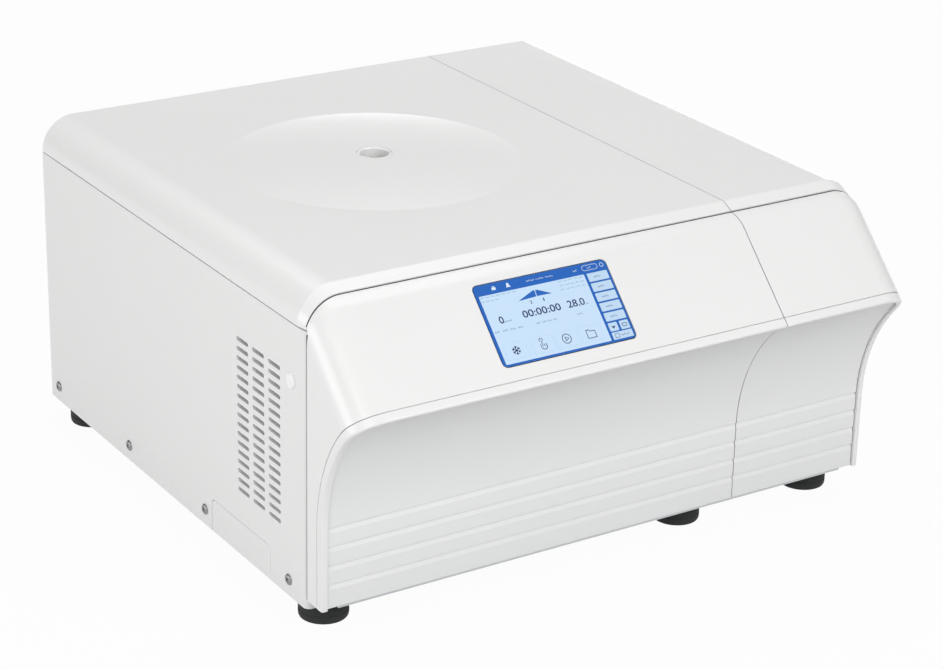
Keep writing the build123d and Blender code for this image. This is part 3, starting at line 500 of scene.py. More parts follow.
def ringStations(fromX, toX):
    # from the left wall's foot, over the top, to the right wall's foot, or up to a split
    flat = hull["halfWidth"] - hull["edge"]
    most, steps = hull["roundShare"], hull["turnSteps"]
    wall = [1.0, 0.9, 0.8, most] + [most * (1 - k / steps) for k in range(1, steps)] + [0.0]
    turn = [radians(90 * k / steps) for k in range(1, steps)]
    stations = []
    if fromX <= -flat:
        stations += [("wall", -1, w) for w in wall]
        stations += [("corner", -1, t) for t in turn]
        fromX = -flat
    rightEnd = toX >= flat
    last = flat if rightEnd else toX
    steps = max(2, int(round((last - fromX) / hull["stride"])))
    stations += [("top", 0, fromX + (last - fromX) * k / steps) for k in range(steps + 1)]
    if rightEnd:
        stations += [("corner", 1, t) for t in turn[::-1]]
        stations += [("wall", 1, w) for w in wall[::-1]]
    return stations


hoodSet = {
    "grooveDepth": 0.0104, "wall": 0.003, "edge": 0.0005, "screenCut": 0.0010,
    # the back edge steps forward below the seam
    "backLow": -0.2514, "backHigh": -0.2474, "stepZ": (0.3140, 0.3170), "stepY": -0.250,
    "rows": (-0.275, -0.271, -0.268, -0.266, -0.264, -0.262, -0.260, -0.258, -0.256, -0.2545, -0.253, -0.252),
    "frontRows": 10,
}


def backEdge(z):
    low, high = hoodSet["stepZ"]
    share = max(0.0, min(1.0, (z - low) / (high - low)))
    return hoodSet["backLow"] + (hoodSet["backHigh"] - hoodSet["backLow"]) * share


def hoodColumn(station):
    x, sinT = stationX(station, 0.0), stationSine(station)
    y0, _ = coveMeetsSlope(sinT, hoodSet["grooveDepth"], 0.0)
    back = backEdge(hoodHeight(hoodSet["stepY"], sinT, 0.0))
    rows, front = hoodSet["rows"], hoodSet["frontRows"]
    ys = [y0 + (rows[0] - y0) * k / front for k in range(front)] + [min(y, back) for y in rows] + [back]
    return [(x, y, hoodHeight(y, sinT, 0.0)) for y in ys]


def hoodWallColumn(station, top):
    # fills the flat side wall between the cove line, the back edge and the foot
    _, side, w = station
    x = side * hull["halfWidth"]
    frontY, frontZ = coveWall(w, hoodSet["grooveDepth"], 0.0)
    cornerY, cornerZ = top[0][1], top[0][2]
    backTop = top[-1][2]
    backZ = backTop + (hull["bottom"] - backTop) * w
    column = []
    for _, ty, tz in top:
        v = (ty - cornerY) / (top[-1][1] - cornerY)
        y = (1 - v) * frontY + v * hoodSet["backLow"]
        z = (1 - v) * frontZ + v * backZ
        lineY = (1 - v) * cornerY + v * hoodSet["backLow"]
        lineZ = (1 - v) * cornerZ + v * backTop
        column.append((x, y + (1 - w) * (ty - lineY), z + (1 - w) * (tz - lineZ)))
    return column


def makeHood(node, fromX, toX):
    columns = []
    for station in ringStations(fromX, toX):
        if station[0] == "wall":
            columns.append(hoodWallColumn(station, hoodColumn(("corner", station[1], 0.0))))
        else:
            columns.append(hoodColumn(station))
    verts = [point for row in zip(*columns) for point in row]
    piece = addPiece(node + "_skin", verts, quads(len(columns[0]), len(columns)), finishes[slotOf[node]])
    tidyMesh(piece)
    thicken(piece, hoodSet["wall"])
    return piece


slopeUp = Vector((0, sqrt(0.5), sqrt(0.5)))
slopeOut = Vector((0, -sqrt(0.5), sqrt(0.5)))
screenSet = {
    "left": -0.165, "up": 0.0258, "width": 0.1546, "height": 0.0864, "radius": 0.005,
    "noseY": -0.3498, "noseZ": 0.2569, "cutReach": 0.02,
}


def onSlope(x, up, out=0.0):
    # x and up run from the screen's lower left corner, in metres
    corner = Vector((screenSet["left"], screenSet["noseY"], screenSet["noseZ"])) + slopeUp * screenSet["up"]
    return corner + Vector((x, 0, 0)) + slopeUp * up + slopeOut * out


def roundRect(x0, y0, x1, y1, radius, steps=6):
    points = []
    for cx, cy, start in ((x1 - radius, y0 + radius, -90), (x1 - radius, y1 - radius, 0),
                          (x0 + radius, y1 - radius, 90), (x0 + radius, y0 + radius, 180)):
        for k in range(steps + 1):
            a = radians(start + 90 * k / steps)
            points.append((cx + radius * cos(a), cy + radius * sin(a)))
    return points


def slopePrism(name, outline, low, high, mat):
    verts = [onSlope(x, y, out) for out in (low, high) for x, y in outline]
    return addPiece(name, verts, tubeFaces(2, len(outline)), mat)


def screenTool():
    s, spare = screenSet, hoodSet["screenCut"]
    outline = roundRect(-spare, -spare, s["width"] + spare, s["height"] + spare, s["radius"] + spare)
    return slopePrism("screenTool", outline, -s["cutReach"], s["cutReach"], finishes["cover_plastic"])


hoodLeft = makeHood("fascia_left", *leftSpan)
cutWith(hoodLeft, screenTool())
hoodRight = makeHood("fascia_right", *rightSpan)
for piece, node in ((hoodLeft, "fascia_left"), (hoodRight, "fascia_right")):
    finishEdges(piece, hoodSet["edge"], 2, 50.0, 28.0)
    settle(piece, node)
print("hood made")

# the lip round the cove

lipSet = {
    # depth behind the cove, and distance in from the skin, in mm, round one section
    "section": (
        (9.6, 1.2), (9.6, 0.4), (9.45, 0.12), (9.2, 0.0), (6.0, 0.0), (2.4, 0.0), (1.5, 0.16), (0.72, 0.72),
        (0.16, 1.5), (0.0, 2.4), (0.0, 4.5), (0.0, 6.1), (0.18, 6.52), (0.6, 6.7), (4.0, 6.7), (10.0, 6.7),
        (10.0, 1.2)),
}


def makeLip(node, fromX, toX):
    section = [(depth / 1000, inset / 1000) for depth, inset in lipSet["section"]]
    stations = ringStations(fromX, toX)
    verts = [ringPoint(station, depth, inset) for station in stations for depth, inset in section]
    piece = addSolid(node + "_edge", verts, tubeFaces(len(stations), len(section)), finishes[slotOf[node]])
    finishEdges(piece, 0.0, limit=50.0)
    settle(piece, node)


makeLip("lip_trim_left", *leftSpan)
makeLip("lip_trim_right", *rightSpan)
print("lip made")

# dark strips in the narrow seams round the hood, just under the surface: painted shade, standing in for the
# shadow in the gaps

shadeStripSet = {
    "fromY": -0.2472, "toY": -0.2459, "above": 0.0003, "deep": 0.0030, "lowest": 0.3178,
    "sideY": (-0.2513, -0.2503), "sideZ": (0.0345, 0.3140), "sideIn": 0.0002,
}
# a near-black colour: painted shade that darkens the seams
paintedSeamShadeFinish = coated("seamShade", fromScreen(24, 24, 26), rough=0.9, coat=0.0)


def sweep(name, node, sections):
    verts = [point for section in sections for point in section]
    settle(addSolid(name, verts, tubeFaces(len(sections), len(sections[0])), paintedSeamShadeFinish), node)


def seamSection(station):
    s, sinT = shadeStripSet, stationSine(station)
    (x0, z0), (x1, z1) = (
        (stationX(station, inset), hoodHeight(s["fromY"], sinT, inset))
        for inset in (-s["above"] * sinT, s["deep"]))
    return [(x0, s["fromY"], z0), (x0, s["toY"], z0), (x1, s["toY"], z1), (x1, s["fromY"], z1)]


def makeShadeStrips(node, fromX, toX, side):
    s = shadeStripSet
    stations = [station for station in ringStations(fromX, toX) if station[0] != "wall"]
    sections = [section for section in map(seamSection, stations) if section[0][2] > s["lowest"]]
    sweep(node + "_top_seam", node, sections)
    near, far = (side * (hull["halfWidth"] - inset) for inset in (s["sideIn"], s["deep"]))
    y0, y1 = s["sideY"]
    sections = [[(near, y0, z), (near, y1, z), (far, y1, z), (far, y0, z)] for z in s["sideZ"]]
    sweep(node + "_side_seam", node, sections)


makeShadeStrips("fascia_left", *leftSpan, -1)
makeShadeStrips("fascia_right", *rightSpan, 1)

# the cove panel, with the four ribs at its foot

coveSet = {
    "recess": 0.0028, "inset": 0.0077, "wall": 0.0026, "ribs": (0.0600, 0.0804, 0.1009, 0.1211),
    "step": 0.0019, "taper": 0.0055, "ease": 0.0003, "taperLift": 0.0001, "line": 0.0006, "lineDeep": 0.0016,
    "roundFromZ": 0.1230, "turnSteps": 30, "endSteps": 20, "columns": 7,
    "footRound": ((0.0018, 0.0), (0.0009, 0.0002), (0.0002, 0.0009), (0.0, 0.0018)),
}


def coveRows():
    # (y, z, half width) from the foot up
    s = coveSet
    r = hull["coveRadius"] + s["recess"]
    face = hull["coveY"] + r
    wide, deep = hull["halfWidth"] - s["inset"], s["step"] + s["lineDeep"]
    rows = [(face + back, hull["bottom"] + up, wide) for back, up in s["footRound"]]
    for z in s["ribs"]:
        start, line = z - s["taper"], z - s["line"]
        for out, height in (
                (0.0, start - s["ease"]), (s["taperLift"], start), (s["step"], line), (deep, line),
                (deep, z), (s["ease"], z), (0.0, z + s["ease"])):
            rows.append((face + out, height, wide))
    y0, z0 = coveMeetsSlope(0.0, s["recess"], s["inset"])
    start = atan2(s["roundFromZ"] - hull["coveZ"], r)
    end = atan2(z0 - hull["coveZ"], y0 - hull["coveY"])
    for k in range(1, s["turnSteps"]):
        a = start + (end - start) * k / s["turnSteps"]
        rows.append((*covePoint(r, a), wide))
    for k in range(s["endSteps"] + 1):
        t = radians(90 * k / s["endSteps"])
        rows.append((*coveMeetsSlope(sin(t), s["recess"], s["inset"]), acrossAt(1, t, s["inset"])))
    return rows


def makeCove(node, fromX, toX):
    rows, columns = coveRows(), coveSet["columns"]
    verts = []
    for y, z, wide in rows:
        left, right = max(fromX, -wide), min(toX, wide)
        verts += [(left + (right - left) * c / (columns - 1), y, z) for c in range(columns)]
    piece = addPiece(node + "_skin", verts, quads(len(rows), columns), finishes[slotOf[node]])
    tidyMesh(piece, 0.000002)
    thicken(piece, coveSet["wall"])
    finishEdges(piece, 0.0, limit=32.0)
    settle(piece, node)


makeCove("kick_panel_left", *leftSpan)
makeCove("kick_panel_right", *rightSpan)
print("cove made")

# the lid on the left, domed round its port, and the plain fixed cover on the right

coverSet = {
    "frontY": -0.2457, "back": 0.013, "drop": 0.0065, "sideShare": 0.42, "wall": 0.003, "edge": 0.0006,
    "domeX": -0.083, "domeY": 0.0528, "domeRadius": 0.159, "domeHeight": 0.008,
    # the front bevel, from the front wall up: shares of its depth and of its drop
    "profile": (
        (0.0, 1.0), (0.015, 0.93), (0.06, 0.88), (0.3, 0.66), (0.6, 0.38), (0.9, 0.10), (0.94, 0.07),
        (0.98, 0.03), (1.03, 0.0)),
    "cornerSteps": 18, "beforePatch": -0.18, "plainRows": [-0.1, 0.05, 0.2], "plainSteps": 4,
    # a square patch of the lid is laid out in rings round the port
    "patch": 0.180, "spokes": 128,
    "rings": (0.159, 0.150, 0.135, 0.118, 0.1, 0.082, 0.064, 0.046, 0.03, 0.01925),
}


def coverPoint(kind, value, side, y, drawn):
    # drawn is how far the front bevel draws the skin in
    if kind == "corner":
        share = coverSet["sideShare"] + (1 - coverSet["sideShare"]) * sin(value)
        r = hull["edge"] - drawn * share
        x = side * (hull["halfWidth"] - hull["edge"] + r * cos(value))
        return x, y, hull["topZ"] - hull["edge"] + r * sin(value)
    return value, y, hull["topZ"] - drawn


def domeRings(s):
    # from the square patch's edge in to the port
    sphere = (s["domeRadius"] ** 2 + s["domeHeight"] ** 2) / (2 * s["domeHeight"])
    baseZ = hull["topZ"] + s["domeHeight"] - sphere
    verts = []
    for radius in (None, *s["rings"]):
        z = baseZ + sqrt(sphere ** 2 - radius ** 2) if radius else hull["topZ"]
        for k in range(s["spokes"]):
            a = 2 * pi * k / s["spokes"]
            reach = radius or s["patch"] / max(abs(cos(a)), abs(sin(a)))
            verts.append((s["domeX"] + reach * cos(a), s["domeY"] + reach * sin(a), z))
    return verts


def makeCover(node, side, splitX):
    s, low, lid = coverSet, hull["coverBottom"], side < 0
    flat = hull["halfWidth"] - hull["edge"]
    first = asin((low - hull["topZ"] + hull["edge"]) / hull["edge"])
    steps = s["cornerSteps"]
    columns = [("corner", first + (pi / 2 - first) * k / steps) for k in range(steps)]
    if lid:
        steps = s["spokes"] // 4
        spots = [s["patch"] * tan(radians(-45 + 90 * k / steps)) for k in range(steps + 1)]
        columns += [("flat", x) for x in (-flat, *(s["domeX"] + v for v in spots), splitX)]
        ys = [s["beforePatch"]] + [s["domeY"] + v for v in spots]
    else:
        steps = s["plainSteps"]
        columns = [("flat", splitX + (flat - splitX) * k / steps) for k in range(steps + 1)] + columns[::-1]
        ys = s["plainRows"]
    rows = [(s["frontY"] + s["back"] * back, s["drop"] * drop) for back, drop in s["profile"]]
    rows += [(y, 0.0) for y in (*ys, hull["rearY"])]

    def rowPoints(y, drawn):
        # the wall at the split goes down to the seam
        row = [coverPoint(kind, value, side, y, drawn) for kind, value in columns]
        return row + [(splitX, y, low)] if lid else [(splitX, y, low)] + row

    # so does the front wall
    verts = [(x, y, low) for x, y, _ in rowPoints(*rows[0])]
    for row in rows:
        verts += rowPoints(*row)
    wide = len(columns) + 1
    faces = quads(len(rows) + 1, wide)
    if lid:
        firstRow, firstColumn, span = len(s["profile"]) + 2, s["cornerSteps"] + 1, len(spots) - 1
        faces = [face for k, face in enumerate(faces)
                 if not (firstRow <= k // (wide - 1) < firstRow + span
                         and firstColumn <= k % (wide - 1) < firstColumn + span)]
        faces += ringFaces(len(s["rings"]) + 1, s["spokes"], len(verts))
        verts += domeRings(s)
    else:
        faces.append(tuple(range(len(verts) - wide, len(verts)))[::-1])
    piece = addSolid(node + "_skin", verts, faces, finishes[slotOf[node]], 0.000005)
    thicken(piece, s["wall"])
    return piece


lidSkin = makeCover("lid_shell", -1, leftSpan[1])
coverSkin = makeCover("right_top_cover", 1, rightSpan[0])
for piece, node, limit in ((lidSkin, "lid_shell", 5.0), (coverSkin, "right_top_cover", 28.0)):
    finishEdges(piece, coverSet["edge"], 2, 60.0, limit)
    settle(piece, node)

skirtSet = {"thick": 0.003, "y": (-0.2457, 0.3450), "z": (0.3031, 0.3172)}


def makeSkirt(s):
    # the fixed cover's inner wall, from its side face down to the deck
    low, high = zip((rightSpan[0], rightSpan[0] + s["thick"]), s["y"], s["z"])
    settle(boxPiece("right_top_cover_skirt", low, high, finishes["cover_plastic"]), "right_top_cover")


makeSkirt(skirtSet)
print("lid and cover made")

# every other rigid node keeps its own mesh, merged, with soft edges

copySet = {
    "merge": 0.000004, "flat": 0.6, "bulkheadTop": 0.3330, "edge": 0.0004,
    # edge widths that differ from that one
    "edges": {
        0.0: (
            "chamber_bowl", "compressor", "evaporator_coil", "guard_ring", "chamber_insulation", "shaft_boot"),
        0.0002: ("release_plug", "display_glass"),
        0.0003: ("lid_liner", "deck_plate", "drive_shaft"),
        0.0005: ("rocker_frame",),
        0.0006: (
            "port_ring", "power_inlet", "rocker_switch", "lid_hinge_arms", "hinge_brackets", "lock_strikers"),
        0.0008: ("rotor_nut", "bucket_1", "bucket_2", "bucket_3", "bucket_4", "chamber_gasket"),
        0.0012: ("rotor_yoke",),
    },
}
edgeWidths = {node: width for width, nodes in copySet["edges"].items() for node in nodes}
madeElsewhere = {
    "fascia_left", "fascia_right", "lip_trim_left", "lip_trim_right", "kick_panel_left", "kick_panel_right",
    "lid_shell", "right_top_cover", "side_screws", "feet", "condenser_fan", "condenser",
}


def smoothCopy(node, width):
    piece = addObject(node + "_shaped", frame["nodes"][node].data.copy())
    piece.data.materials.clear()
    piece.data.materials.append(plugFinish if node == "release_plug" else finishes[slotOf[node]])
    work = bmesh.new()
    work.from_mesh(piece.data)
    for face in work.faces:
        face.material_index = 0
    bmesh.ops.remove_doubles(work, verts=work.verts, dist=copySet["merge"])
    flat = radians(copySet["flat"])
    bmesh.ops.dissolve_limit(work, angle_limit=flat, verts=work.verts, edges=work.edges)
    work.to_mesh(piece.data)
    work.free()
    finishEdges(piece, width, 2, 40.0, 32.0)
    settle(piece, node)
    return piece


for node in sorted(frame["nodes"]):
    if node not in madeElsewhere:
        piece = smoothCopy(node, edgeWidths.get(node, copySet["edge"]))
        if node == "front_bulkhead":
            # what lies in the seam stays below it, so the seam reads dark
            for vert in piece.data.vertices:
                vert.co.z = min(vert.co.z, copySet["bulkheadTop"])
print("rigid nodes dressed")


def scatter(name, points, item, mat, turns=None, size=1.0):
    # one small object on every point, then real mesh in one finish
    mesh = bpy.data.meshes.new(name)
    mesh.from_pydata([tuple(point) for point in points], [], [])
    cloud = addObject(name, mesh)
    tree = bpy.data.node_groups.new(name + "Tree", "GeometryNodeTree")
    tree.interface.new_socket(name="Geometry", in_out="INPUT", socket_type="NodeSocketGeometry")
    grown = tree.interface.new_socket(name="Size", in_out="INPUT", socket_type="NodeSocketFloat")
    tree.interface.new_socket(name="Geometry", in_out="OUTPUT", socket_type="NodeSocketGeometry")
    given = addNode(tree, "NodeGroupInput").outputs
    shape = addNode(tree, "GeometryNodeObjectInfo", {"Object": item, "As Instance": True}).outputs["Geometry"]
    grow = addNode(tree, "ShaderNodeCombineXYZ", {axis: given["Size"] for axis in range(3)}).outputs[0]
    inputs = {"Points": given["Geometry"], "Instance": shape, "Scale": grow}
    if turns is not None:
        mesh.attributes.new("turn", "FLOAT_VECTOR", "POINT")
        mesh.attributes["turn"].data.foreach_set("vector", [v for turn in turns for v in turn])
        named = addNode(tree, "GeometryNodeInputNamedAttribute", {"Name": "turn"}, data_type="FLOAT_VECTOR")
        inputs["Rotation"] = named.outputs["Attribute"]
    spread = addNode(tree, "GeometryNodeInstanceOnPoints", inputs).outputs["Instances"]
    real = addNode(tree, "GeometryNodeRealizeInstances", {"Geometry": spread}).outputs["Geometry"]
    paint = addNode(tree, "GeometryNodeSetMaterial", {"Geometry": real, "Material": mat}).outputs["Geometry"]
    addNode(tree, "NodeGroupOutput", {"Geometry": paint})
    modifier = cloud.modifiers.new(name, "NODES")
    modifier.node_group = tree
    modifier[grown.identifier] = size
    bake(cloud)
    cloud.data.materials.clear()
    cloud.data.materials.append(mat)
    bpy.data.objects.remove(item)
    return cloud


def lathe(name, profile, mat, steps=48):
    # a closed turned shape about Z from (radius, z) pairs, from the axis to the axis
    turns = [2 * pi * k / steps for k in range(steps)]
    verts = [(r * cos(a), r * sin(a), z) for r, z in profile for a in turns]
    return addSolid(name, verts, ringFaces(len(profile), steps), mat, 0.000002)


footSet = {
    "places": [(x, y, 0.0) for x in (-0.303, 0.130, 0.303) for y in (-0.2272, 0.3073)],
    "profile": (
        (0.0, 0.0008), (0.010, 0.0006), (0.0232, 0.0), (0.0246, 0.0005), (0.0253, 0.0018), (0.0256, 0.004),
        (0.0256, 0.0075), (0.0249, 0.0082), (0.0249, 0.0092), (0.0256, 0.0100), (0.0256, 0.0200),
        (0.0249, 0.0214), (0.0225, 0.0222), (0.0205, 0.0236), (0.0200, 0.0260), (0.0200, 0.0306),
        (0.0194, 0.0310), (0.0, 0.0310)),
}
foot = lathe("oneFoot", footSet["profile"], finishes["foot_rubber"])
feet = scatter("feet_moulded", footSet["places"], foot, finishes["foot_rubber"])
smoothByAngle(feet.data, 35)
settle(feet, "feet")

screwSet = {
    "along": (0.0355, 0.2147, 0.394, 0.5767), "z": 0.0404,
    "head": 0.006, "proud": 0.0025, "shank": 0.0023,
    # the head's round, as shares of its radius and height, and the shank below it
    "round": ((0.0, 1.0), (0.45, 0.97), (0.75, 0.82), (0.93, 0.5), (1.0, 0.15)),
    "seat": 0.00002, "shankEnd": -0.006, "point": -0.0068,
    "crossWide": 0.0011, "crossLong": 0.0034, "crossDeep": 0.0016, "crossTurn": 0.5, "turnAlong": 9.0,
}


def makeScrew(s):
    # a pan head with a cross recess, its axis along +X
    profile = [(s["head"] * r, s["proud"] * z) for r, z in s["round"]]
    profile += [(s["head"], s["seat"]), (s["shank"], s["seat"])]
    profile += [(s["shank"], s["shankEnd"]), (0.0, s["point"])]
    screw = lathe("oneScrew", profile, finishes["screw_steel"], 40)
    reach = Vector((s["crossLong"], s["crossWide"] / 2, s["crossDeep"]))
    for turn in (0.0, pi / 2):
        tool = boxPiece("crossTool", -reach, reach, finishes["screw_steel"])
        rotation = Matrix.Rotation(turn + s["crossTurn"], 4, "Z")
        tool.data.transform(Matrix.Translation((0, 0, s["proud"])) @ rotation)
        cutWith(screw, tool)
    screw.data.transform(Matrix.Rotation(pi / 2, 4, "Y"))
    return screw


places, turns = [], []
for side in (-1, 1):
    for along in screwSet["along"]:
        places.append((side * hull["halfWidth"], hull["frontY"] + along, screwSet["z"]))
        turns.append((along * screwSet["turnAlong"], 0.0, pi if side < 0 else 0.0))
screws = scatter("side_screws_heads", places, makeScrew(screwSet), finishes["screw_steel"], turns)
smoothByAngle(screws.data, 35)
settle(screws, "side_screws")

# each vent slot has a short pressed lip behind it

ventSet = {
    "length": 0.024, "height": 0.0044, "low": 0.0964, "rows": 17, "pitch": 0.01025,
    "sheet": 0.0015, "lip": 0.0032, "wall": 0.0005, "endSteps": 5,
    "left": (0.1285, 0.096, 0.0635), "right": (0.19, 0.2225, 0.255, 0.2875),
}


def makeVentLip(s):
    # a round-ended sleeve, going in along +X from the sheet's inner face
    r, half, steps = s["height"] / 2, (s["length"] - s["height"]) / 2, s["endSteps"]
    near, far = s["sheet"], s["sheet"] + s["lip"]
    verts = []
    for x, grown in ((near, 0.0), (far, 0.0), (far, s["wall"]), (near, s["wall"])):
        for centre, start in ((half, -90), (-half, 90)):
            for k in range(steps + 1):
                a = radians(start + 180 * k / steps)
                verts.append((x, centre + (r + grown) * cos(a), (r + grown) * sin(a)))
    faces = ringFaces(4, len(verts) // 4, loop=True)
    return addSolid("oneVentLip", verts, faces, finishes["painted_steel"], 0.000001)


for name, side, panel in (("left_vent_lips", -1, "left"), ("right_vent_lips", 1, "right")):
    spots = [(side * hull["halfWidth"], hull["frontY"] + y, ventSet["low"] + row * ventSet["pitch"])
             for y in ventSet[panel] for row in range(ventSet["rows"])]
    turned = [(0.0, 0.0, pi if side > 0 else 0.0)] * len(spots)
    lips = scatter(name, spots, makeVentLip(ventSet), finishes["painted_steel"], turned)
    smoothByAngle(lips.data, 40)
    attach(lips, "cabinet")

fanSet = {
    "blades": 7, "centre": (0.267, -0.010, 0.165), "hub": 0.024, "tip": 0.0915, "root": 0.9,
    "rings": 9, "across": 9,
    # the pitch grows by the twist towards the hub; the chord swells between its two shares
    "pitch": 32.0, "twist": 14.0, "chord": 0.031, "chordShares": (0.72, 0.5), "swell": (0.85, 0.7),
    "camber": 0.0028, "thick": 0.0009, "edge": 0.0002,
    # the hub's shape, as shares of its radius and steps back from its front
    "hubShape": ((0.0, 0.0), (0.7, 0.0), (0.92, 0.0012), (1.0, 0.004), (1.0, 0.024), (0.9, 0.0242)),
    "shaft": 0.004,
}


def bladePoint(s, share, u, side):
    # share runs from the hub to the tip, u across the blade, side is its face
    root = s["hub"] * s["root"]
    pitch = radians(s["pitch"] + s["twist"] * (1 - share))
    least, swell = s["chordShares"]
    chord = s["chord"] * (least + swell * sin(pi * min(share, s["swell"][0]) * s["swell"][1]))
    thick = s["thick"] * sqrt(max(0.0, 1 - (2 * u) ** 4)) + s["edge"]
    a, b = u * chord, s["camber"] * (1 - 4 * u * u) + side * thick
    x, y = b * cos(pitch) + a * sin(pitch), a * cos(pitch) - b * sin(pitch)
    return x, y, root + (s["tip"] - root) * share


def makeBlade(s):
    # one twisted, curved blade reaching along +Z from the hub
    rings, across = s["rings"], s["across"]
    verts = [bladePoint(s, r / (rings - 1), c / (across - 1) - 0.5, side)
             for side in (1, -1) for r in range(rings) for c in range(across)]
    n = rings * across
    faces = quads(rings, across)
    faces += [tuple(n + k for k in face)[::-1] for face in faces]
    rim = list(range(across)) + [r * across + across - 1 for r in range(1, rings)]
    rim += [(rings - 1) * across + c for c in range(across - 2, -1, -1)]
    rim += [r * across for r in range(rings - 2, 0, -1)]
    faces += [(a, b, n + b, n + a) for a, b in zip(rim, rim[1:] + rim[:1])]
    return addSolid("oneBlade", verts, faces, finishes["black_plastic"], 0.000001)


def makeFan(s):
    centre = Vector(s["centre"])
    turns = [(2 * pi * k / s["blades"], 0.0, 0.0) for k in range(s["blades"])]
    blades = scatter("fanBlades", [centre] * s["blades"], makeBlade(s), finishes["black_plastic"], turns)
    back, front = (corner.x - centre.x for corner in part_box("condenser_fan"))
    profile = [(s["hub"] * r, front - step) for r, step in s["hubShape"]]
    profile += [(s["shaft"], profile[-1][1]), (s["shaft"], back), (0.0, back)]
    middle = lathe("fanHub", profile, finishes["black_plastic"])
    middle.data.transform(Matrix.Translation(centre) @ Matrix.Rotation(pi / 2, 4, "Y"))
    joinAs("condenser_fan_moulded", blades, [middle])
    smoothByAngle(blades.data, 35)
    settle(blades, "condenser_fan")


makeFan(fanSet)

coilSet = {
    "fins": 60, "finThick": 0.0004, "finShort": (0.003, 0.004), "finsFrom": 0.006, "wall": 0.0016,
    "rows": 8, "deep": (-0.25, 0.25), "tube": 0.0042, "tubeShort": 0.001,
}


def makeCondenser(s):
    low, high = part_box("condenser")
    middle, size, mat = (low + high) / 2, high - low, finishes["anodised"]
    reach = Vector((size.x - s["finShort"][0], s["finThick"], size.z - s["finShort"][1])) / 2
    fin = boxPiece("oneFin", -reach, reach, mat)
    between = size.y - 2 * s["finsFrom"]
    ys = [low.y + s["finsFrom"] + between * k / (s["fins"] - 1) for k in range(s["fins"])]
    fins = scatter("condenserFins", [(middle.x, y, middle.z) for y in ys], fin, mat)
    parts = []
    for axis in (1, 2):
        for start in (low[axis], high[axis] - s["wall"]):
            corner0, corner1 = low.copy(), high.copy()
            corner0[axis], corner1[axis] = start, start + s["wall"]
            parts.append(boxPiece("plate", corner0, corner1, mat))
    end = size.y / 2 - s["tubeShort"]
    for row in range(s["rows"]):
        for deep in s["deep"]:
            pipe = lathe("pipe", ((0.0, -end), (s["tube"], -end), (s["tube"], end), (0.0, end)), mat, 12)
            place = Vector((middle.x + deep * size.x, middle.y, low.z + size.z * (row + 0.5) / s["rows"]))
            pipe.data.transform(Matrix.Translation(place) @ Matrix.Rotation(pi / 2, 4, "X"))
            parts.append(pipe)
    joinAs("condenser_finned", fins, parts)
    smoothByAngle(fins.data, 35)
    settle(fins, "condenser")


makeCondenser(coilSet)
print("repeated pieces made")

# what the screen shows: plain fields, generic figures and marks, no words

screenColours = {
    "frameBlue": fromScreen(24, 96, 184), "field": fromScreen(196, 221, 245), "ink": fromScreen(20, 34, 96),
    "button": fromScreen(188, 214, 238), "mark": fromScreen(52, 74, 120), "pale": fromScreen(214, 230, 246),
    "faint": fromScreen(104, 158, 176), "wedge": fromScreen(28, 98, 186), "tile": fromScreen(178, 203, 232),
}
screenFinish = {name: coated("screen_" + name, colour, 0.2, shade=0.03, grain=400.0, bump=0.0, coat=0.5)
                for name, colour in screenColours.items()}
screenParts = {name: [] for name in screenColours}
# the layout below counts 100 across and 56 up
pixel = screenSet["width"] / 100.0
glassTop, layerStep = 0.00002, 0.00003


def flatShape(colour, outline, layer):
    # a thin raised shape, in layout units
    screenParts[colour].append(([(x * pixel, y * pixel) for x, y in outline], glassTop + layer * layerStep))


def bar(colour, x0, y0, x1, y1, layer, radius=0.25):
    flatShape(colour, roundRect(x0, y0, x1, y1, min(radius, (x1 - x0) / 2.01, (y1 - y0) / 2.01), 3), layer)


def ring(colour, x, y, outer, inner, layer, steps=24, start=0.0, span=360.0):
    for k in range(steps):
        a, b = (radians(start + span * j / steps) for j in (k, k + 1))
        corners = ((outer, a), (outer, b), (inner, b), (inner, a))
        flatShape(colour, [(x + r * cos(turn), y + r * sin(turn)) for r, turn in corners], layer)


def stroke(colour, x0, y0, x1, y1, width, layer):
    along = Vector((x1 - x0, y1 - y0)).normalized() * width / 2
    side = Vector((-along.y, along.x))
    corners = ((x0, y0, 1), (x0, y0, -1), (x1, y1, -1), (x1, y1, 1))
    flatShape(colour, [(x + sign * side.x, y + sign * side.y) for x, y, sign in corners], layer)


# sizes of the small print, as shares of its height, and of the gap between words as a share of a step
greekSet = {
    "step": 0.95, "gap": 1.1, "thick": 0.24, "thinnest": 0.22, "short": 0.75, "across": 0.6,
    "levels": (0.1, 0.5, 0.9),
}


def greek(colour, x0, y0, x1, height, layer, words=3):
    # small print as short upright and level strokes, which spell nothing
    s = greekSet
    step = height * s["step"]
    gap = step * s["gap"]
    each = (x1 - x0 - gap * (words - 1)) / words
    thick = max(s["thinnest"], height * s["thick"])
    for word in range(words):
        for k in range(max(1, int(each / step))):
            x = x0 + word * (each + gap) + k * step
            kind = (k * 5 + word * 3) % 4
            stroke(colour, x, y0, x, y0 + height * (s["short"] if kind == 1 else 1.0), thick, layer)
            if kind != 3:
                level = y0 + height * s["levels"][kind % 3]
                stroke(colour, x, level, x + step * s["across"], level, thick, layer)


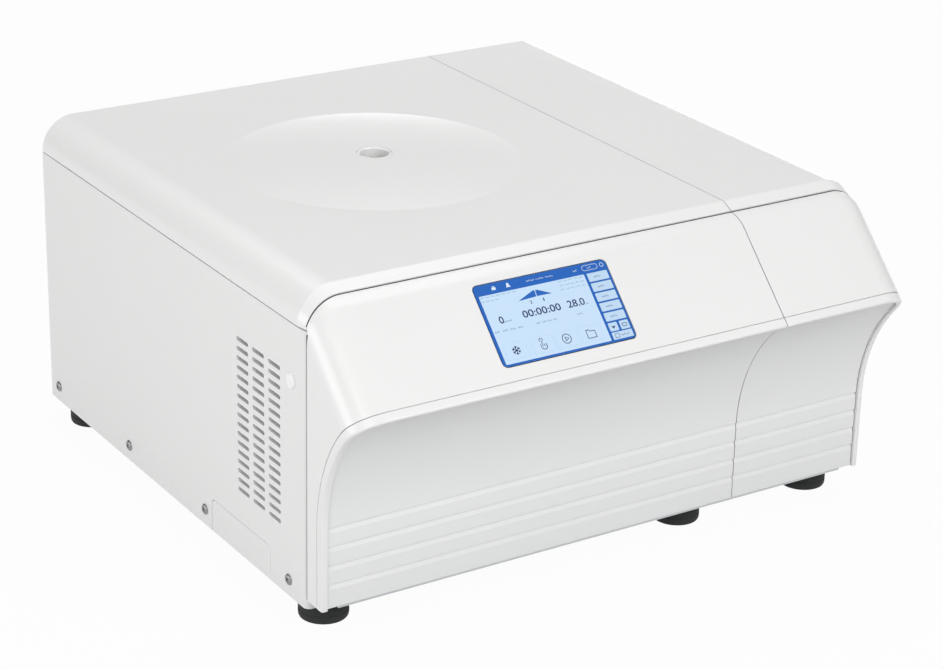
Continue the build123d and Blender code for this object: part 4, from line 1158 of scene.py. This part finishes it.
# each bar is colour, left, foot, right, top, layer and corner radius
bars = [
    ("field", 2.0, 1.4, 81.1, 48.6, 1, 0.6), ("pale", 13.0, 51.0, 16.0, 52.8, 2, 0.2),
    ("pale", 81.2, 50.6, 93.2, 54.4, 2, 1.8), ("frameBlue", 81.5, 50.9, 92.9, 54.1, 3, 1.55),
    ("button", 83.1, 7.2, 89.8, 13.1, 1, 0.5), ("button", 91.6, 7.2, 98.3, 13.1, 1, 0.5),
    ("mark", 93.2, 8.9, 96.8, 11.4, 2, 0.4), ("button", 93.6, 9.3, 96.4, 11.0, 3, 0.3),
    ("button", 83.1, 1.4, 98.5, 6.4, 1, 0.5), ("mark", 85.0, 2.4, 88.4, 5.4, 2, 0.3),
    ("button", 85.3, 2.7, 88.1, 5.1, 3, 0.2),
]
# each line of small print is colour, left, foot, right, height, layer and number of words
prints = [
    ("pale", 39.1, 51.8, 59.6, 0.9, 2, 3), ("pale", 74.6, 51.6, 78.4, 1.1, 2, 1),
    ("pale", 85.4, 51.9, 89.2, 1.1, 4, 1), ("faint", 2.6, 46.9, 29.4, 0.8, 2, 7),
    ("faint", 2.9, 44.3, 15.4, 0.6, 2, 4), ("mark", 12.6, 28.7, 18.8, 0.9, 2, 1),
    ("mark", 3.6, 23.0, 25.2, 1.0, 2, 4), ("mark", 34.4, 23.2, 50.0, 0.8, 2, 4),
    ("mark", 65.1, 23.1, 70.0, 0.9, 2, 1), ("mark", 74.4, 28.8, 76.6, 1.0, 2, 1),
    ("mark", 90.0, 3.3, 96.4, 1.1, 2, 1),
]
prints += [("faint", left, 46.9 - row * 2.8, 80.0, 0.8, 2, 5) for row, left in enumerate((60.9, 61.2, 60.4))]
tiles = (12.8, 32.6, 50.4, 69.0)
for x in tiles:
    bars += [("tile", x - 8.2, 3.8, x + 8.2, 14.8, 2, 0.5), ("field", x - 8.0, 4.0, x + 8.0, 14.6, 3, 0.4)]
# five long keys
for top in (48.5 - k * 7.07 for k in range(5)):
    bars.append(("button", 83.1, top - 5.9, 98.5, top, 1, 0.5))
    prints.append(("mark", 87.6, top - 3.5, 93.2, 1.1, 2, 1))


def drawMarks():
    # the top bar's lock, bell and ring
    ring("pale", 14.5, 52.8, 1.0, 0.6, 2, 12, 0, 180)
    bell = [(23.2, 51.0), (27.0, 51.0), (26.2, 51.9), (25.9, 53.4), (25.1, 54.1), (24.3, 53.4), (24.0, 51.9)]
    flatShape("pale", bell, 2)
    ring("pale", 96.4, 52.6, 1.5, 1.15, 2, 20)
    # the rotor mark's two wedges, and a key's arrow
    flatShape("wedge", [(28.0, 40.4), (41.6, 41.0), (42.0, 45.4), (40.7, 45.4)], 2)
    flatShape("wedge", [(42.1, 41.1), (53.4, 40.9), (43.9, 45.2), (42.5, 45.4)], 2)
    flatShape("mark", [(86.4, 8.8), (88.0, 10.6), (84.8, 10.6)], 2)


def drawFlake(x, y):
    for k in range(3):
        a = radians(60 * k + 30)
        dx, dy = 2.9 * cos(a), 2.9 * sin(a)
        stroke("ink", x - dx, y - dy, x + dx, y + dy, 0.55, 4)
        for sign in (-1, 1):
            for bend in (-0.7, 0.7):
                hx, hy = x + sign * dx * 0.55, y + sign * dy * 0.55
                b = atan2(sign * dy, sign * dx) + bend
                stroke("ink", hx, hy, hx + 1.4 * cos(b), hy + 1.4 * sin(b), 0.5, 4)


def drawHand(x):
    ring("ink", x + 0.3, 8.0, 2.4, 1.9, 4, 20, 180, 180)
    for left, top in ((-1.9, 9.6), (-0.5, 12.0), (0.9, 9.6), (2.3, 9.6)):
        stroke("ink", x + left, 7.8, x + left, top, 0.5, 4)
    ring("ink", x - 0.5, 12.2, 1.5, 1.05, 4, 16, -30, 240)


def drawStart(x):
    ring("ink", x, 9.4, 3.4, 2.9, 4, 30)
    flatShape("ink", [(x - 1.1, 7.7), (x + 2.0, 9.4), (x - 1.1, 11.1)], 4)
    flatShape("field", [(x - 0.6, 8.5), (x + 1.1, 9.4), (x - 0.6, 10.3)], 5)


def drawFolder(x):
    for x0, y0, x1, y1 in (
            (-3.3, 6.2, -3.3, 11.8), (-3.5, 6.2, 3.3, 6.2), (3.1, 6.2, 3.1, 11.0), (-0.5, 10.8, 3.3, 10.8),
            (-3.5, 11.8, -1.1, 11.8), (-1.1, 11.8, -0.5, 10.8)):
        stroke("ink", x + x0, y0, x + x1, y1, 0.5, 4)


figureSet = (
    # text, from, to, foot, height
    ("0", 9.3, 12.6, 28.4, 4.8), ("00:00:00", 27.0, 55.4, 28.8, 4.8), ("28.0", 60.8, 73.6, 28.8, 4.9),
    ("2", 35.6, 37.2, 37.0, 2.1), ("1", 45.5, 46.3, 37.0, 2.1),
)


def makeFigures():
    verts, faces = [], []
    for text, left, right, foot, height in figureSet:
        curve = bpy.data.curves.new("figures", "FONT")
        curve.body = text
        curve.size = height / 0.70
        curve.offset = height * 0.012
        curve.resolution_u = 4
        holder = addObject("figures", curve)
        bpy.context.view_layer.update()
        mesh = bpy.data.meshes.new_from_object(holder.evaluated_get(bpy.context.evaluated_depsgraph_get()))
        bpy.data.objects.remove(holder)
        work = bmesh.new()
        work.from_mesh(mesh)
        bmesh.ops.remove_doubles(work, verts=work.verts, dist=0.0001)
        work.verts.ensure_lookup_table()
        start = len(verts)
        low = min(v.co.x for v in work.verts)
        wide = (right - left) / (max(v.co.x for v in work.verts) - low)
        verts += [onSlope((left + (v.co.x - low) * wide) * pixel, (foot + v.co.y) * pixel, glassTop + 0.0001)
                  for v in work.verts]
        faces += [tuple(start + v.index for v in face.verts) for face in work.faces]
        work.free()
    piece = addPiece("display_figures", verts, faces, screenFinish["ink"])
    wall = piece.modifiers.new("wall", "SOLIDIFY")
    wall.thickness = 0.00005
    wall.offset = 0.0
    bake(piece)
    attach(piece, "cabinet")


def makeScreenMeshes():
    for colour, shapes in screenParts.items():
        verts, faces = [], []
        for outline, lift in shapes:
            faces += tubeFaces(2, len(outline), len(verts))
            verts += [onSlope(x, y, height) for height in (lift - layerStep, lift) for x, y in outline]
        if not verts:
            continue
        piece = addSolid("display_" + colour, verts, faces, screenFinish[colour], 0.0000001)
        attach(piece, "cabinet")


for shape in bars:
    bar(*shape)
for line in prints:
    greek(*line)
drawMarks()
drawFlake(tiles[0], 9.3)
drawHand(tiles[1])
drawStart(tiles[2])
drawFolder(tiles[3])
makeScreenMeshes()
makeFigures()
print("screen drawn")
